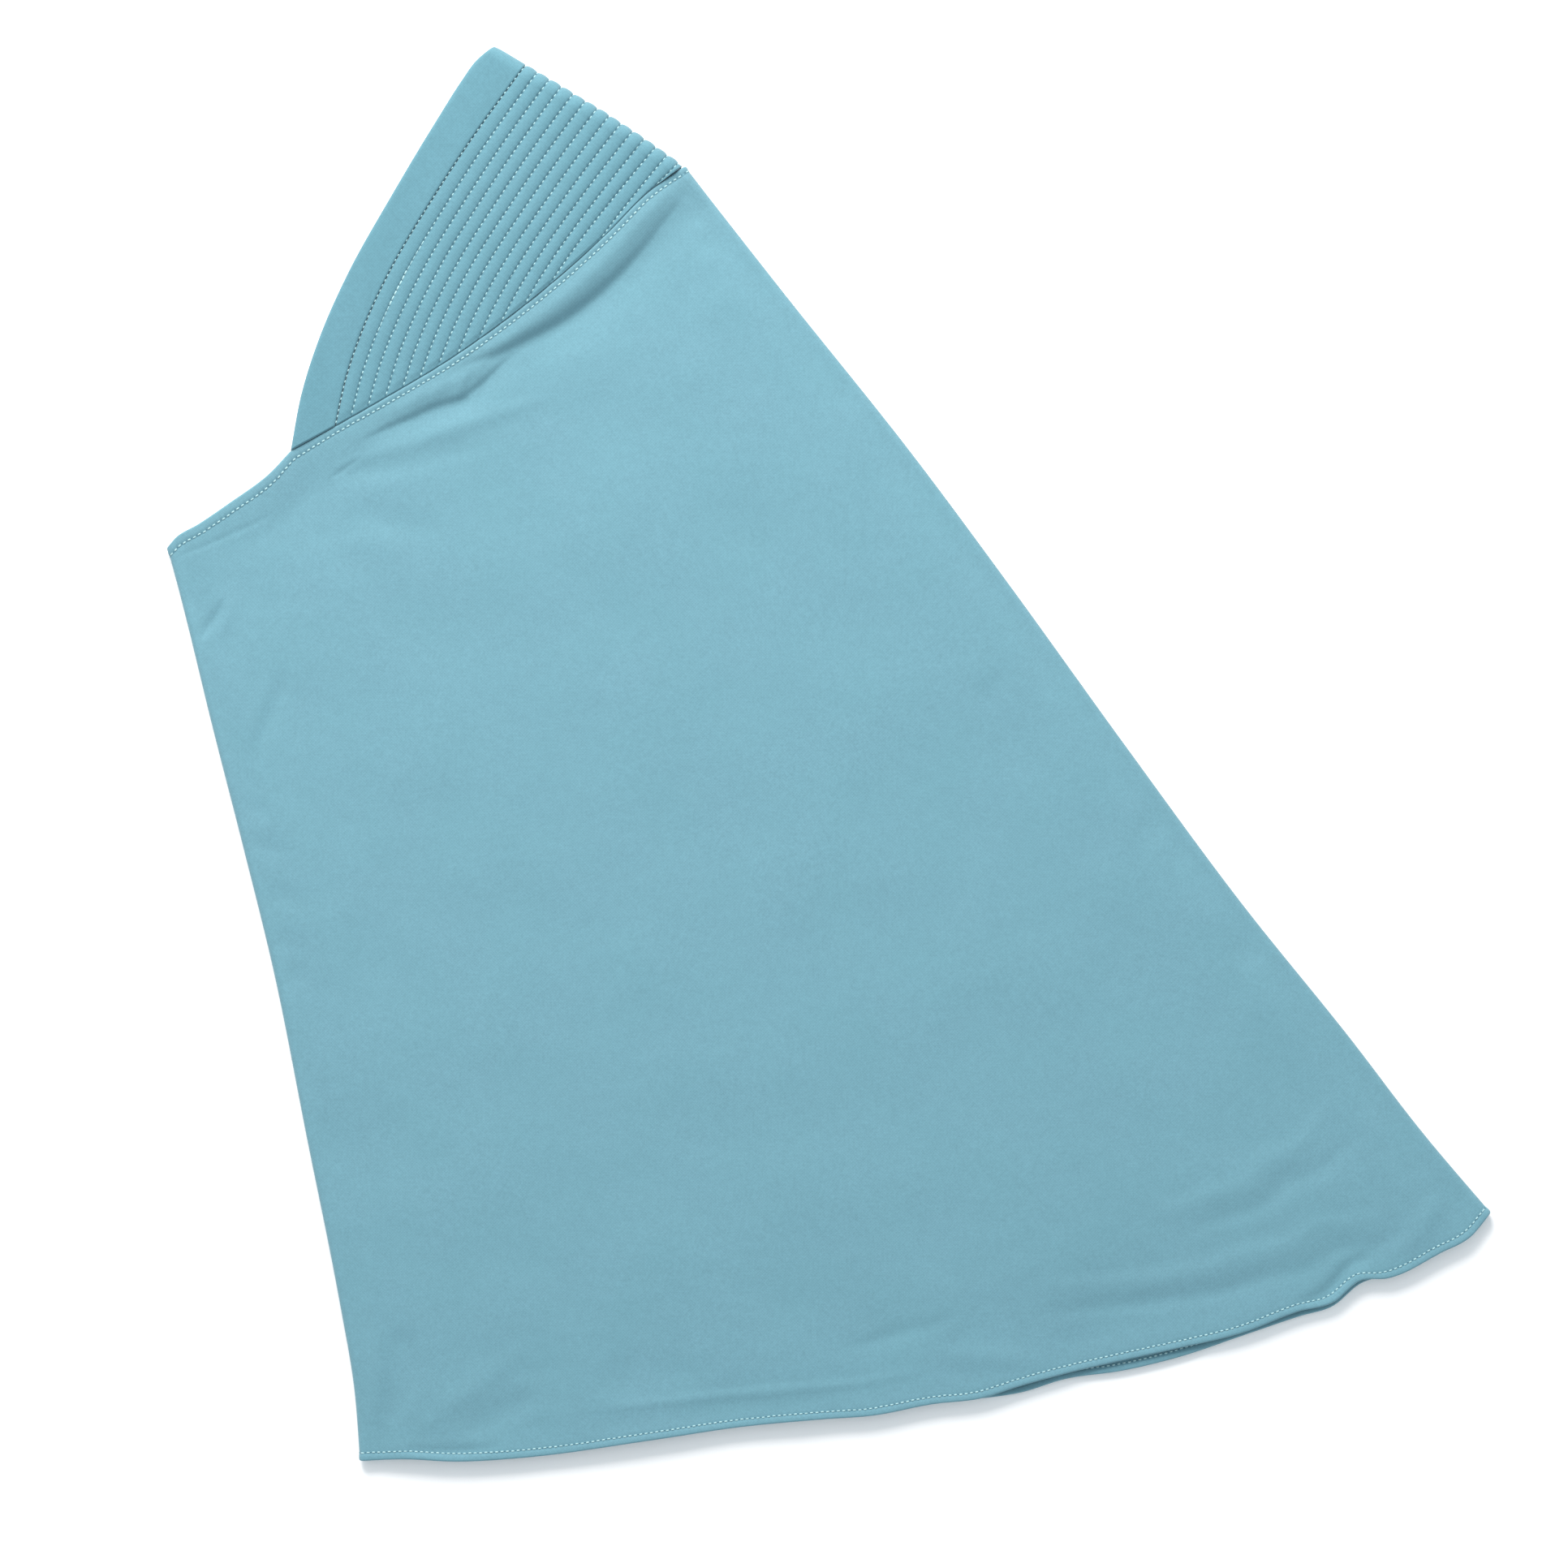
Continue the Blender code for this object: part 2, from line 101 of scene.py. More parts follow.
# Hem: share from the back fold, bow of the upper layer, bow of the lower layer
HEM_BOW = [(0.0, 0.0, 0.0), (0.02, 0.0155, 0.015), (0.05, 0.0245, 0.025), (0.10, 0.036, 0.034),
           (0.122, 0.033, 0.036), (0.15, 0.0465, 0.050), (0.18, 0.0475, 0.0525), (0.23, 0.055, 0.058),
           (0.29, 0.0565, 0.0645), (0.34, 0.0565, 0.0655), (0.39, 0.057, 0.062), (0.43, 0.0590, 0.0652),
           (0.465, 0.0620, 0.0628), (0.505, 0.0580, 0.057), (0.56, 0.0563, 0.054), (0.60, 0.0505, 0.049),
           (0.67, 0.0418, 0.040), (0.75, 0.0362, 0.034), (0.86, 0.0274, 0.025), (0.92, 0.0177, 0.016),
           (0.96, 0.0070, 0.006), (1.0, 0.0, 0.0)]

# Quilting: share of the rows from first to last, share of the seam from the back, bow of the row
ROW_TABLE = [(0.0, 0.896, 0.0587), (0.08, 0.858, 0.052), (0.23, 0.779, 0.047), (0.54, 0.605, 0.034),
             (0.77, 0.435, 0.022), (0.85, 0.363, 0.016), (0.92, 0.238, 0.010), (1.0, 0.084, 0.0)]
FACE_EDGE_BOW = 0.0627
# Shape of a row: share from the crown to the seam, share of its bow, and what the crown's tip adds
ROW_SHAPE = [(0.0, 0.0, 0.0), (0.05, 0.13, 0.20), (0.10, 0.26, 0.20), (0.20, 0.50, 0.12),
             (0.40, 0.83, 0.03), (0.60, 1.0, 0.0), (0.75, 0.88, 0.0), (0.88, 0.55, 0.0), (1.0, 0.0, 0.0)]

# Folds and creases of the upper layer: name, half widths in mm to the left and the right of its travel,
# height in mm, and its line as shares across from the back fold and down from the top edge. A line that
# runs from back to front has the hem on its left. A negative height is a dip.
CREASES = [
    ("puff_beside_seam", 5.0, 4.6, 1.3, [(0.02, 0.008), (0.06, 0.0105), (0.118, 0.0125), (0.17, 0.014),
        (0.212, 0.015), (0.273, 0.016), (0.325, 0.0145), (0.375, 0.0135), (0.43, 0.011)]),
    ("valley_beside_seam", 14.0, 3.8, -2.3, [(0.03, 0.019), (0.06, 0.0235), (0.103, 0.028), (0.152, 0.031),
        (0.20, 0.0325), (0.24, 0.0325), (0.285, 0.0315), (0.32, 0.0285), (0.357, 0.0250), (0.395, 0.0215),
        (0.425, 0.017), (0.450, 0.013)]),
    ("valley_floor", 5.0, 2.6, -0.8, [(0.12, 0.026), (0.20, 0.0295), (0.285, 0.0285), (0.357, 0.0230),
        (0.395, 0.0195), (0.425, 0.0155), (0.445, 0.013)]),
    ("second_puff", 3.6, 3.4, 0.7, [(0.40, 0.016), (0.445, 0.019), (0.485, 0.0185), (0.527, 0.0155),
        (0.60, 0.013)]),
    ("second_wrinkle", 6.5, 2.3, -1.9, [(0.385, 0.027), (0.408, 0.0285), (0.435, 0.0315), (0.465, 0.0335),
        (0.482, 0.0345), (0.512, 0.0310), (0.532, 0.0285), (0.56, 0.0275), (0.60, 0.0250), (0.64, 0.0235)]),
    ("second_wrinkle_nick_a", 1.5, 1.5, -0.55, [(0.447, 0.016), (0.458, 0.024), (0.474, 0.031)]),
    ("second_wrinkle_nick_b", 1.4, 1.4, -0.50, [(0.493, 0.014), (0.503, 0.022), (0.513, 0.030)]),
    ("second_wrinkle_nick_c", 1.3, 1.3, -0.40, [(0.535, 0.013), (0.542, 0.020), (0.549, 0.027)]),
    ("second_wrinkle_lump", 2.2, 2.2, 0.45, [(0.470, 0.020), (0.482, 0.0275), (0.492, 0.033)]),
    ("ridge_to_chin", 4.2, 5.0, 0.8, [(0.70, 0.034), (0.665, 0.0375), (0.60, 0.045), (0.527, 0.051),
        (0.455, 0.059), (0.38, 0.071)]),
    ("valley_to_chin", 9.0, 5.0, -0.7, [(0.705, 0.042), (0.665, 0.050), (0.625, 0.059), (0.545, 0.069),
        (0.478, 0.083)]),
    ("sharp_at_chin", 1.5, 1.3, -0.45, [(0.715, 0.0395), (0.703, 0.040), (0.685, 0.038), (0.66, 0.037)]),
    ("dip_below_junction", 9.0, 7.0, -0.7, [(0.71, 0.080), (0.66, 0.103), (0.62, 0.120), (0.585, 0.130)]),
    ("ridge_below_junction", 7.0, 7.0, 0.5, [(0.73, 0.100), (0.68, 0.120), (0.64, 0.138)]),
    ("spoke_from_back_top", 9.0, 9.0, -0.6, [(0.06, 0.038), (0.10, 0.065), (0.135, 0.095), (0.155, 0.13)]),
    ("spoke_ridge", 9.0, 9.0, 0.45, [(0.035, 0.040), (0.055, 0.08), (0.07, 0.12)]),
    ("spoke_far", 6.0, 6.0, -0.35, [(0.075, 0.16), (0.085, 0.20), (0.10, 0.25)]),
    ("chin_turning", 1.5, 1.5, -0.30, [(0.995, 0.0195), (0.93, 0.0245), (0.873, 0.030), (0.82, 0.034)]),
    ("chin_dark", 3.4, 3.4, -0.55, [(0.998, 0.040), (0.992, 0.052), (0.981, 0.080)]),
    ("front_stroke_a", 2.4, 2.8, -0.9, [(0.935, 0.084), (0.952, 0.095), (0.966, 0.102), (0.984, 0.110)]),
    ("front_stroke_a_ridge", 3.0, 3.0, 0.45, [(0.915, 0.085), (0.940, 0.104), (0.965, 0.122)]),
    ("front_stroke_b", 3.0, 3.6, -0.85, [(0.878, 0.180), (0.895, 0.196), (0.918, 0.214), (0.953, 0.248)]),
    ("front_stroke_b_ridge", 3.6, 3.6, 0.5, [(0.905, 0.180), (0.932, 0.205), (0.958, 0.232)]),
    ("front_nick_a", 2.2, 2.2, -0.6, [(1.0, 0.180), (0.980, 0.183), (0.960, 0.187)]),
    ("front_nick_b", 2.4, 2.4, -0.8, [(1.0, 0.294), (0.980, 0.298), (0.950, 0.309)]),
    ("front_nick_c", 3.0, 2.4, -0.9, [(1.0, 0.333), (0.975, 0.340), (0.940, 0.354)]),
    ("front_nick_d", 3.0, 2.4, -0.9, [(1.0, 0.393), (0.975, 0.396), (0.940, 0.403)]),
    ("front_nick_e", 2.6, 2.2, -0.8, [(1.0, 0.441), (0.975, 0.445), (0.950, 0.450)]),
    ("front_nick_f", 3.0, 2.4, -0.6, [(1.0, 0.480), (0.975, 0.482), (0.955, 0.485)]),
    ("front_swell", 12.0, 12.0, 0.6, [(0.93, 0.250), (0.94, 0.40), (0.92, 0.52)]),
    ("back_stroke_a", 3.0, 3.2, -0.7, [(0.112, 0.466), (0.095, 0.460), (0.072, 0.456), (0.050, 0.454)]),
    ("back_stroke_a_ridge", 3.6, 3.6, 0.5, [(0.105, 0.446), (0.080, 0.440), (0.060, 0.437)]),
    ("back_stroke_b", 4.0, 4.0, -0.35, [(0.150, 0.505), (0.138, 0.488), (0.128, 0.472)]),
    ("back_spoke_a", 3.2, 2.8, -0.8, [(0.0, 0.606), (0.020, 0.608), (0.045, 0.613), (0.065, 0.625)]),
    ("back_spoke_b", 3.2, 2.8, -0.8, [(0.0, 0.638), (0.020, 0.641), (0.050, 0.646)]),
    ("back_spoke_c", 3.2, 2.8, -0.7, [(0.0, 0.671), (0.020, 0.672), (0.040, 0.674)]),
    ("back_spoke_d", 3.0, 2.4, -1.0, [(0.0, 0.731), (0.020, 0.729), (0.042, 0.727)]),
    ("back_spoke_e", 5.0, 5.0, -0.3, [(0.050, 0.750), (0.075, 0.757), (0.100, 0.765)]),
    ("low_fold_ridge", 4.6, 8.0, 0.75, [(0.37, 0.920), (0.31, 0.931), (0.268, 0.937), (0.22, 0.940),
        (0.173, 0.942), (0.12, 0.945), (0.07, 0.95)]),
    ("low_fold_valley", 6.0, 4.0, -0.75, [(0.38, 0.943), (0.34, 0.950), (0.283, 0.957), (0.217, 0.963),
        (0.152, 0.968), (0.088, 0.972), (0.055, 0.974)]),
    ("upper_fold_ridge", 5.5, 7.0, 0.65, [(0.24, 0.884), (0.16, 0.886), (0.09, 0.875), (0.04, 0.855)]),
    ("upper_fold_valley", 6.0, 4.4, -0.7, [(0.22, 0.906), (0.165, 0.908), (0.10, 0.902), (0.045, 0.890)]),
    ("corner_valley", 3.0, 4.0, -1.5, [(0.175, 0.992), (0.150, 0.990), (0.125, 0.986), (0.095, 0.976)]),
    ("corner_ridge", 6.0, 6.0, 0.7, [(0.09, 0.988), (0.05, 0.975), (0.02, 0.96)]),
    ("hem_lift", 9.0, 9.0, 0.5, [(0.17, 0.988), (0.27, 0.985), (0.38, 0.985)]),
    ("hem_waist_ridge", 5.5, 5.5, 0.8, [(0.40, 0.985), (0.45, 0.965), (0.475, 0.955)]),
    ("hem_waist_valley", 4.6, 4.6, -0.75, [(0.555, 0.935), (0.50, 0.930), (0.455, 0.924)]),
    ("hem_line_ridge", 1.8, 2.6, 0.6, [(0.80, 0.960), (0.72, 0.965), (0.65, 0.968), (0.58, 0.968),
        (0.505, 0.968)]),
    ("hem_line_valley", 5.5, 5.5, -0.4, [(0.79, 0.980), (0.70, 0.982), (0.60, 0.984)]),
    ("hem_left_hollow", 12.0, 12.0, -0.7, [(0.78, 0.930), (0.74, 0.935), (0.69, 0.940)]),
    ("front_low_ridge", 3.6, 3.6, 0.9, [(0.955, 0.740), (0.963, 0.79), (0.968, 0.84), (0.975, 0.90),
        (0.982, 0.955)]),
    ("front_low_valley", 8.0, 8.0, -1.3, [(0.948, 0.860), (0.952, 0.900), (0.960, 0.930), (0.972, 0.965)]),
    ("front_low_slant", 6.0, 6.0, 0.6, [(0.95, 0.970), (0.90, 0.93), (0.84, 0.890)]),
    ("front_low_slant_dip", 7.0, 7.0, -0.8, [(0.91, 0.970), (0.875, 0.955), (0.84, 0.94)]),
    ("front_hem_crease", 2.4, 2.4, -0.8, [(0.965, 0.990), (0.925, 0.989), (0.88, 0.987)]),
]

# Where the lower hem shows below the upper one, both lie nearer to each other: middle and reach across,
# and how far the upper one sinks and the lower one rises
SETTLE_MIDDLE = 0.31
SETTLE_REACH = 0.30
UPPER_SINK = 2.6 * MM
LOWER_RISE = 1.7 * MM

# Uneven lie of the upper layer: number of waves, shortest, longest and height in mm. Near the folds only
# this share of it and of the creases is left.
LIE_WAVES = [(26, 34, 150, 0.55), (30, 11, 30, 0.07)]
NEAR_FOLD = 0.35

# Fixed draws, taken anew for each stretch of the cape, so that all stretches lie alike
SEED = 7
DRAWS = np.random.default_rng(SEED)


def smooth_row(rows, at, column=1):
    """Cubic through one column of a table, with the slope at each row taken from its neighbours."""
    knots = np.array([row[0] for row in rows])
    values = np.array([row[column] for row in rows])
    slopes = np.gradient(values, knots)
    place = np.clip(np.searchsorted(knots, at, side="right") - 1, 0, len(knots) - 2)
    span = knots[place + 1] - knots[place]
    t = (at - knots[place]) / span
    start_value = (1 + 2 * t) * (1 - t) ** 2 * values[place]
    start_slope = t * (1 - t) ** 2 * span * slopes[place]
    end_value = t * t * (3 - 2 * t) * values[place + 1]
    end_slope = t * t * (t - 1) * span * slopes[place + 1]
    return start_value + start_slope + end_value + end_slope


def ease(share):
    """Smooth step from 1 at share 0 to 0 at share 1."""
    share = np.clip(share, 0.0, 1.0)
    return 1 - share * share * (3 - 2 * share)


def heading(degrees):
    """Unit vector at an angle from +X."""
    return np.array([math.cos(math.radians(degrees)), math.sin(math.radians(degrees))])


# Corners of the folded veil in plan
BACK_TOP = JUNCTION + SEAM_CHORD * heading(SEAM_HEADING)
NECK_CORNER = JUNCTION + CHIN_EDGE * heading(CHIN_HEADING)
FRONT_HEM = NECK_CORNER + FRONT_FOLD * heading(FRONT_HEADING)
BACK_HEM = BACK_TOP + BACK_FOLD * heading(BACK_HEADING)
CROWN_TIP = BACK_TOP + CROWN_FOLD * heading(CROWN_HEADING)
SEAM_SHARE = SEAM_CHORD / (SEAM_CHORD + CHIN_EDGE)

# Heights of the middle of each layer
LOWER_CAPE = CLOTH_WALL / 2
UPPER_CAPE = CLOTH_WALL + CAPE_ROOM + CLOTH_WALL / 2
LOWER_LEAF = RIB_PADDING / 2
UPPER_LEAF = RIB_PADDING + LEAF_ROOM + RIB_PADDING / 2
LEAF_BEND = (UPPER_LEAF - LOWER_LEAF) / 2
LOWER_HEM = HEM_WALL / 2 + PIECE_GAP / 2
UPPER_HEM = UPPER_CAPE + (HEM_WALL - CLOTH_WALL) / 2
SEAM_SLOPE = 4.0 * MM
BACK_END_SHARE = (RIB_PADDING / 2 + LEAF_BEND + SEAM_SLOPE + 2 * MM) / SEAM_CHORD


def bowed_edge(start, end, rows, share, column=1):
    """Points on a chord, each moved to the left of travel by the table's bow."""
    share = np.asarray(share, dtype=float)
    along = end - start
    left = np.array([-along[1], along[0]])
    bow = smooth_row(rows, share, column)
    return start + share[..., None] * along + bow[..., None] * left


def seam_point(share):
    """The curved seam from the back fold to the junction, bowed towards the cape."""
    return bowed_edge(BACK_TOP, JUNCTION, SEAM_BOW, share)


def top_edge(across):
    """The cape's upper edge: the seam, then the chin edge to the front fold."""
    across = np.asarray(across, dtype=float)
    sewn = seam_point(np.clip(across / SEAM_SHARE, 0.0, 1.0))
    chin_share = np.clip((across - SEAM_SHARE) / (1 - SEAM_SHARE), 0.0, 1.0)
    chin = bowed_edge(NECK_CORNER, JUNCTION, CHIN_BOW, 1 - chin_share)
    return np.where((across <= SEAM_SHARE)[..., None], sewn, chin)


def cape_plan(across, down, layer="upper"):
    """Patch between the top edge, the hem and the two folds: the sum of both straight blends of
    opposite edges, less the blend of the four corners."""
    across, down = np.broadcast_arrays(np.asarray(across, dtype=float), np.asarray(down, dtype=float))
    a = across[..., None]
    d = down[..., None]
    hem = bowed_edge(BACK_HEM, FRONT_HEM, HEM_BOW, across, column=1 if layer == "upper" else 2)
    back = bowed_edge(BACK_TOP, BACK_HEM, BACK_BOW, down)
    front = bowed_edge(FRONT_HEM, NECK_CORNER, FRONT_BOW, 1 - down)
    corners = ((1 - a) * (1 - d) * BACK_TOP + a * (1 - d) * NECK_CORNER
               + (1 - a) * d * BACK_HEM + a * d * FRONT_HEM)
    return (1 - d) * top_edge(across) + d * hem + (1 - a) * back + a * front - corners


def column_length(across, layer):
    """Length of a straight column of the cape from the top edge to the hem."""
    return np.linalg.norm(cape_plan(across, 1.0, layer) - cape_plan(across, 0.0, layer), axis=-1)


def nearest_on_line(plan, line):
    """For each point: the distance to a polyline, the share of its length at the nearest place, and the
    side: 1 to the left of travel, -1 to the right, and between them past an end."""
    steps = np.diff(line, axis=0)
    lengths = np.linalg.norm(steps, axis=1)
    starts = np.concatenate([[0.0], np.cumsum(lengths)[:-1]])
    offset = plan[:, None, :] - line[None, :-1, :]
    t = np.clip((offset * steps).sum(axis=-1) / lengths ** 2, 0.0, 1.0)
    gap = offset - t[..., None] * steps
    distance = np.linalg.norm(gap, axis=-1)
    best = distance.argmin(axis=1)
    row = np.arange(len(plan))
    near = gap[row, best]
    side = steps[best, 0] * near[:, 1] - steps[best, 1] * near[:, 0]
    side = side / (lengths[best] * distance[row, best] + 1e-9)
    return distance[row, best], (starts[best] + t[row, best] * lengths[best]) / lengths.sum(), side


def crease_relief(plan):
    """Sum of the creases: each is a bell across its line whose height and width fade at both ends."""
    flat = plan.reshape(-1, 2)
    height = np.zeros(len(flat))
    for _, left, right, rise, places in CREASES:
        knots = np.linspace(0.0, 1.0, len(places))
        run = np.linspace(0.0, 1.0, 5 * len(places))
        across = smooth_row([(k, p[0]) for k, p in zip(knots, places)], run)
        down = smooth_row([(k, p[1]) for k, p in zip(knots, places)], run)
        line = cape_plan(across, down)
        margin = 3 * max(left, right) * MM
        inside = (flat > line.min(axis=0) - margin) & (flat < line.max(axis=0) + margin)
        near = np.flatnonzero(inside.all(axis=1))
        distance, share, side = nearest_on_line(flat[near], line)
        fade = np.sin(math.pi * np.clip(share, 0.015, 0.985)) ** 0.55
        reach = ((left + right) / 2 + (left - right) / 2 * side) * MM * (0.45 + 0.55 * fade)
        height[near] += rise * MM * fade * np.exp(-(distance / reach) ** 2)
    return height.reshape(plan.shape[:-1])


def uneven_lie(plan, waves, shortest, longest, height):
    """Gentle rise and fall of cloth: a sum of sines over plan, in fixed random directions and lengths."""
    turn = DRAWS.uniform(0.0, math.pi, waves)
    length = np.exp(DRAWS.uniform(math.log(shortest), math.log(longest), waves))
    phase = DRAWS.uniform(0.0, 2 * math.pi, waves)
    total = np.zeros(plan.shape[:-1])
    for k in range(waves):
        run = plan[..., 0] * math.cos(turn[k]) + plan[..., 1] * math.sin(turn[k])
        total += length[k] / longest * np.sin(2 * math.pi * run / length[k] + phase[k])
    return total * height / math.sqrt(waves / 2)


def cape_height(across, down, layer):
    """Height of a layer's middle: level, raised at the seam to the visor's leaf and at the hem to the
    turned edge, falling off beside the folds."""
    column = column_length(across, layer)
    near_top = ease(down * column / NECK_RUN)
    near_hem = ease((1 - down) * column / HEM_RUN)
    chin_share = ease((across - SEAM_SHARE) / (1 - SEAM_SHARE))
    settled = ease(np.abs(across - SETTLE_MIDDLE) / SETTLE_REACH)
    if layer == "lower":
        top = LOWER_HEM + (LOWER_LEAF - LOWER_HEM) * chin_share
        rise = LOWER_RISE * settled * ease((1 - down) * column / (30 * MM))
        return LOWER_CAPE + (top - LOWER_CAPE) * near_top + (LOWER_HEM - LOWER_CAPE) * near_hem + rise
    top = UPPER_HEM + (UPPER_LEAF - UPPER_HEM) * chin_share
    sink = UPPER_SINK * settled * ease((1 - down) * column / (75 * MM))
    return UPPER_CAPE + (top - UPPER_CAPE) * near_top + (UPPER_HEM - UPPER_CAPE) * near_hem - sink


def stitch_line(across):
    """Distance of the top edge's stitching from that edge: narrow beside the seam, wider on the chin."""
    return CHIN_TOPSTITCH + (SEAM_TOPSTITCH - CHIN_TOPSTITCH) * ease((across - SEAM_SHARE + 0.10) / 0.16)


def tube_ring(start, end, shares, run, lower_run):
    """Middle surface of a stretch of the cape's tube, as rows of closed rings. Each ring runs over the
    upper layer, round the front fold as a half circle, back under the lower layer and round the back
    fold. start and end give the distance down a column from its place across and its length."""
    bend = np.linspace(0.0, math.pi, BEND_STEPS + 1)[1:-1]
    shares = np.asarray(shares)[:, None]

    def down_at(across, layer):
        column = column_length(across, layer)
        first = start(across, column)
        return (first + shares * (end(across, column) - first)) / column

    def fold(side, down):
        """At a fold: the cloth's width for a share of 1, the bend's radius and the height of its middle."""
        step = 0.01
        beside = cape_plan(abs(side - step), down)
        width = np.linalg.norm(beside - cape_plan(side, down), axis=-1) / step
        high = cape_height(side, down, "upper") - FOLD_DROP
        low = cape_height(side, down, "lower")
        return width, (high - low) / 2, (high + low) / 2

    def layer_run(layer, across):
        down = down_at(across, layer)
        back_width, back_radius, _ = fold(0.0, down)
        front_width, front_radius, _ = fold(1.0, down)
        first = (CLOTH_WALL / 2 + back_radius) / back_width
        last = 1 - (CLOTH_WALL / 2 + front_radius) / front_width
        placed = first + across * (last - first)
        plan = cape_plan(placed, down, layer)
        height = cape_height(placed, down, layer)
        if layer == "upper":
            beside_back = (placed - first) * back_width
            beside_front = (last - placed) * front_width
            drop = np.exp(-(beside_back / FOLD_EASE) ** 2) + np.exp(-(beside_front / FOLD_EASE) ** 2)
            calm = ease(1 - beside_back / FOLD_EASE * 2) * ease(1 - beside_front / FOLD_EASE * 2)
            relief = crease_relief(plan)
            for waves, shortest, longest, rise in LIE_WAVES:
                relief += uneven_lie(plan, waves, shortest * MM, longest * MM, rise * MM)
            height += relief * (NEAR_FOLD + (1 - NEAR_FOLD) * calm) - FOLD_DROP * drop
        return np.concatenate([plan, height[..., None]], axis=-1)

    def half_circle(side, angles):
        side_array = np.full(angles.shape, side)
        down = (down_at(side_array, "upper") + down_at(side_array, "lower")) / 2
        width, radius, middle = fold(side, down)
        inset = (CLOTH_WALL / 2 + radius * (1 - np.sin(angles))) / width
        plan = cape_plan(np.abs(side - inset), down)
        return np.concatenate([plan, (middle + radius * np.cos(angles))[..., None]], axis=-1)

    global DRAWS
    DRAWS = np.random.default_rng(SEED)
    return np.concatenate([layer_run("upper", run), half_circle(1.0, bend),
                           layer_run("lower", lower_run[::-1]), half_circle(0.0, bend[::-1])], axis=1)


def surface_normals(points, ring):
    """Unit normals of a grid from the differences of its neighbours, pointing up where it is highest."""
    if ring:
        sideways = np.roll(points, -1, axis=1) - np.roll(points, 1, axis=1)
    else:
        sideways = np.gradient(points, axis=1)
    normals = np.cross(sideways, np.gradient(points, axis=0))
    normals /= np.linalg.norm(normals, axis=-1, keepdims=True) + 1e-12
    top = np.unravel_index(points[..., 2].argmax(), points.shape[:2])
    turned = normals[top][2] < 0
    return (-normals if turned else normals), turned


def mesh_object(name, points, faces, uvs=None):
    """A smooth mesh at the origin from points, faces and each face corner's UV."""
    mesh = bpy.data.meshes.new(name)
    mesh.from_pydata(points.tolist(), [], faces.tolist())
    if uvs is not None:
        layer = mesh.uv_layers.new(name="Cloth")
        layer.data.foreach_set("uv", np.asarray(uvs, dtype=np.float32).ravel())
    mesh.shade_smooth()
    piece = bpy.data.objects.new(name, mesh)
    bpy.context.scene.collection.objects.link(piece)
    return piece


def quads(grid):
    """Faces between the neighbours of a grid of point numbers."""
    return np.stack([grid[:-1, :-1], grid[:-1, 1:], grid[1:, 1:], grid[1:, :-1]], axis=-1).reshape(-1, 4)


def cloth_skin(name, middle, half, uv, ring=False):
    """Closed cloth from its middle surface: the middle plus and minus half its thickness along the
    normal. Both skins share the points at the free edges, where the thickness is nothing."""
    rows, columns = middle.shape[:2]
    normals, turned = surface_normals(middle, ring)
    outer = middle + normals * half[..., None]
    inner = middle - normals * half[..., None]
    index = np.arange(rows * columns).reshape(rows, columns)
    under = index + rows * columns
    under[[0, -1], :] = index[[0, -1], :]
    if ring:
        index = np.concatenate([index, index[:, :1]], axis=1)
        under = np.concatenate([under, under[:, :1]], axis=1)
    else:
        under[:, [0, -1]] = index[:, [0, -1]]
    over, below = quads(index), quads(under)
    corner = quads(np.arange(uv.shape[0] * uv.shape[1]).reshape(uv.shape[:2]))
    if turned:
        over, corner_over = over[:, ::-1], corner[:, ::-1]
        corner_below = corner
    else:
        below, corner_over, corner_below = below[:, ::-1], corner, corner[:, ::-1]
    faces = np.concatenate([over, below])
    corners = np.concatenate([corner_over, corner_below])
    used, faces = np.unique(faces, return_inverse=True)
    faces = faces.reshape(-1, 4)
    points = np.concatenate([outer.reshape(-1, 3), inner.reshape(-1, 3)])[used]
    return mesh_object(name, points, faces, uv.reshape(-1, 2)[corners])


def rounded(distance, radius):
    """Share of full thickness at a distance inside a rounded edge: a quarter of an ellipse."""
    return np.sqrt(np.clip(1 - (1 - np.clip(distance / radius, 0.0, 1.0)) ** 2, 0.0, 1.0))


def near_dense(count, low, high, pull=2.2):
    """Places from 0 to 1 that lie closer together towards the ends named by low and high."""
    t = np.linspace(0.0, 1.0, count)
    start = t ** pull if low else t
    end = 1 - (1 - t) ** pull if high else t
    return start * (1 - t) + end * t


UPPER_RUN = 190
LOWER_RUN = 54
NECK_COLUMNS = (260, 120)
HEM_COLUMNS = (420, 240)
BEND_STEPS = 10
EDGE_ROWS = [0.0, 0.015, 0.05, 0.11, 0.19, 0.30, 0.42, 0.54, 0.65, 0.73, 0.80, 0.86, 0.91, 0.95, 0.98, 1.0]
# How far the cape reaches in under a turned edge, and how much thinner that edge is at its stitching
# and past it
TUCKED_IN = 0.3 * MM
HELD_DOWN = 0.36
PAST_DOWN = 0.32


def neck_stitched(across, column):
    """Distance of the neck's stitching down a column."""
    return stitch_line(across)


def hem_stitched(across, column):
    """Distance of the bottom hem's stitching down a column."""
    return column - HEM_TOPSTITCH


def shifted(distance, by):
    """A distance down each column, moved by a length."""
    return lambda across, column: distance(across, column) + by


def edge_columns(columns):
    """Places across the upper and the lower layer of a turned edge, closer together at the folds."""
    return near_dense(columns[0], True, True, 1.3), near_dense(columns[1], True, True, 1.3)


def cape_rows():
    """Rows of the cape: close together at the seam and the hem."""
    seam_side = np.linspace(0.0, 0.11, 62)
    middle = np.linspace(0.11, 0.86, 76)[1:]
    hem_side = np.linspace(0.86, 1.0, 42)[1:]
    return np.concatenate([[0.0, 0.0004, 0.0009], seam_side[2:], middle, hem_side[:-1],
                           [0.9992, 0.9996, 1.0]])


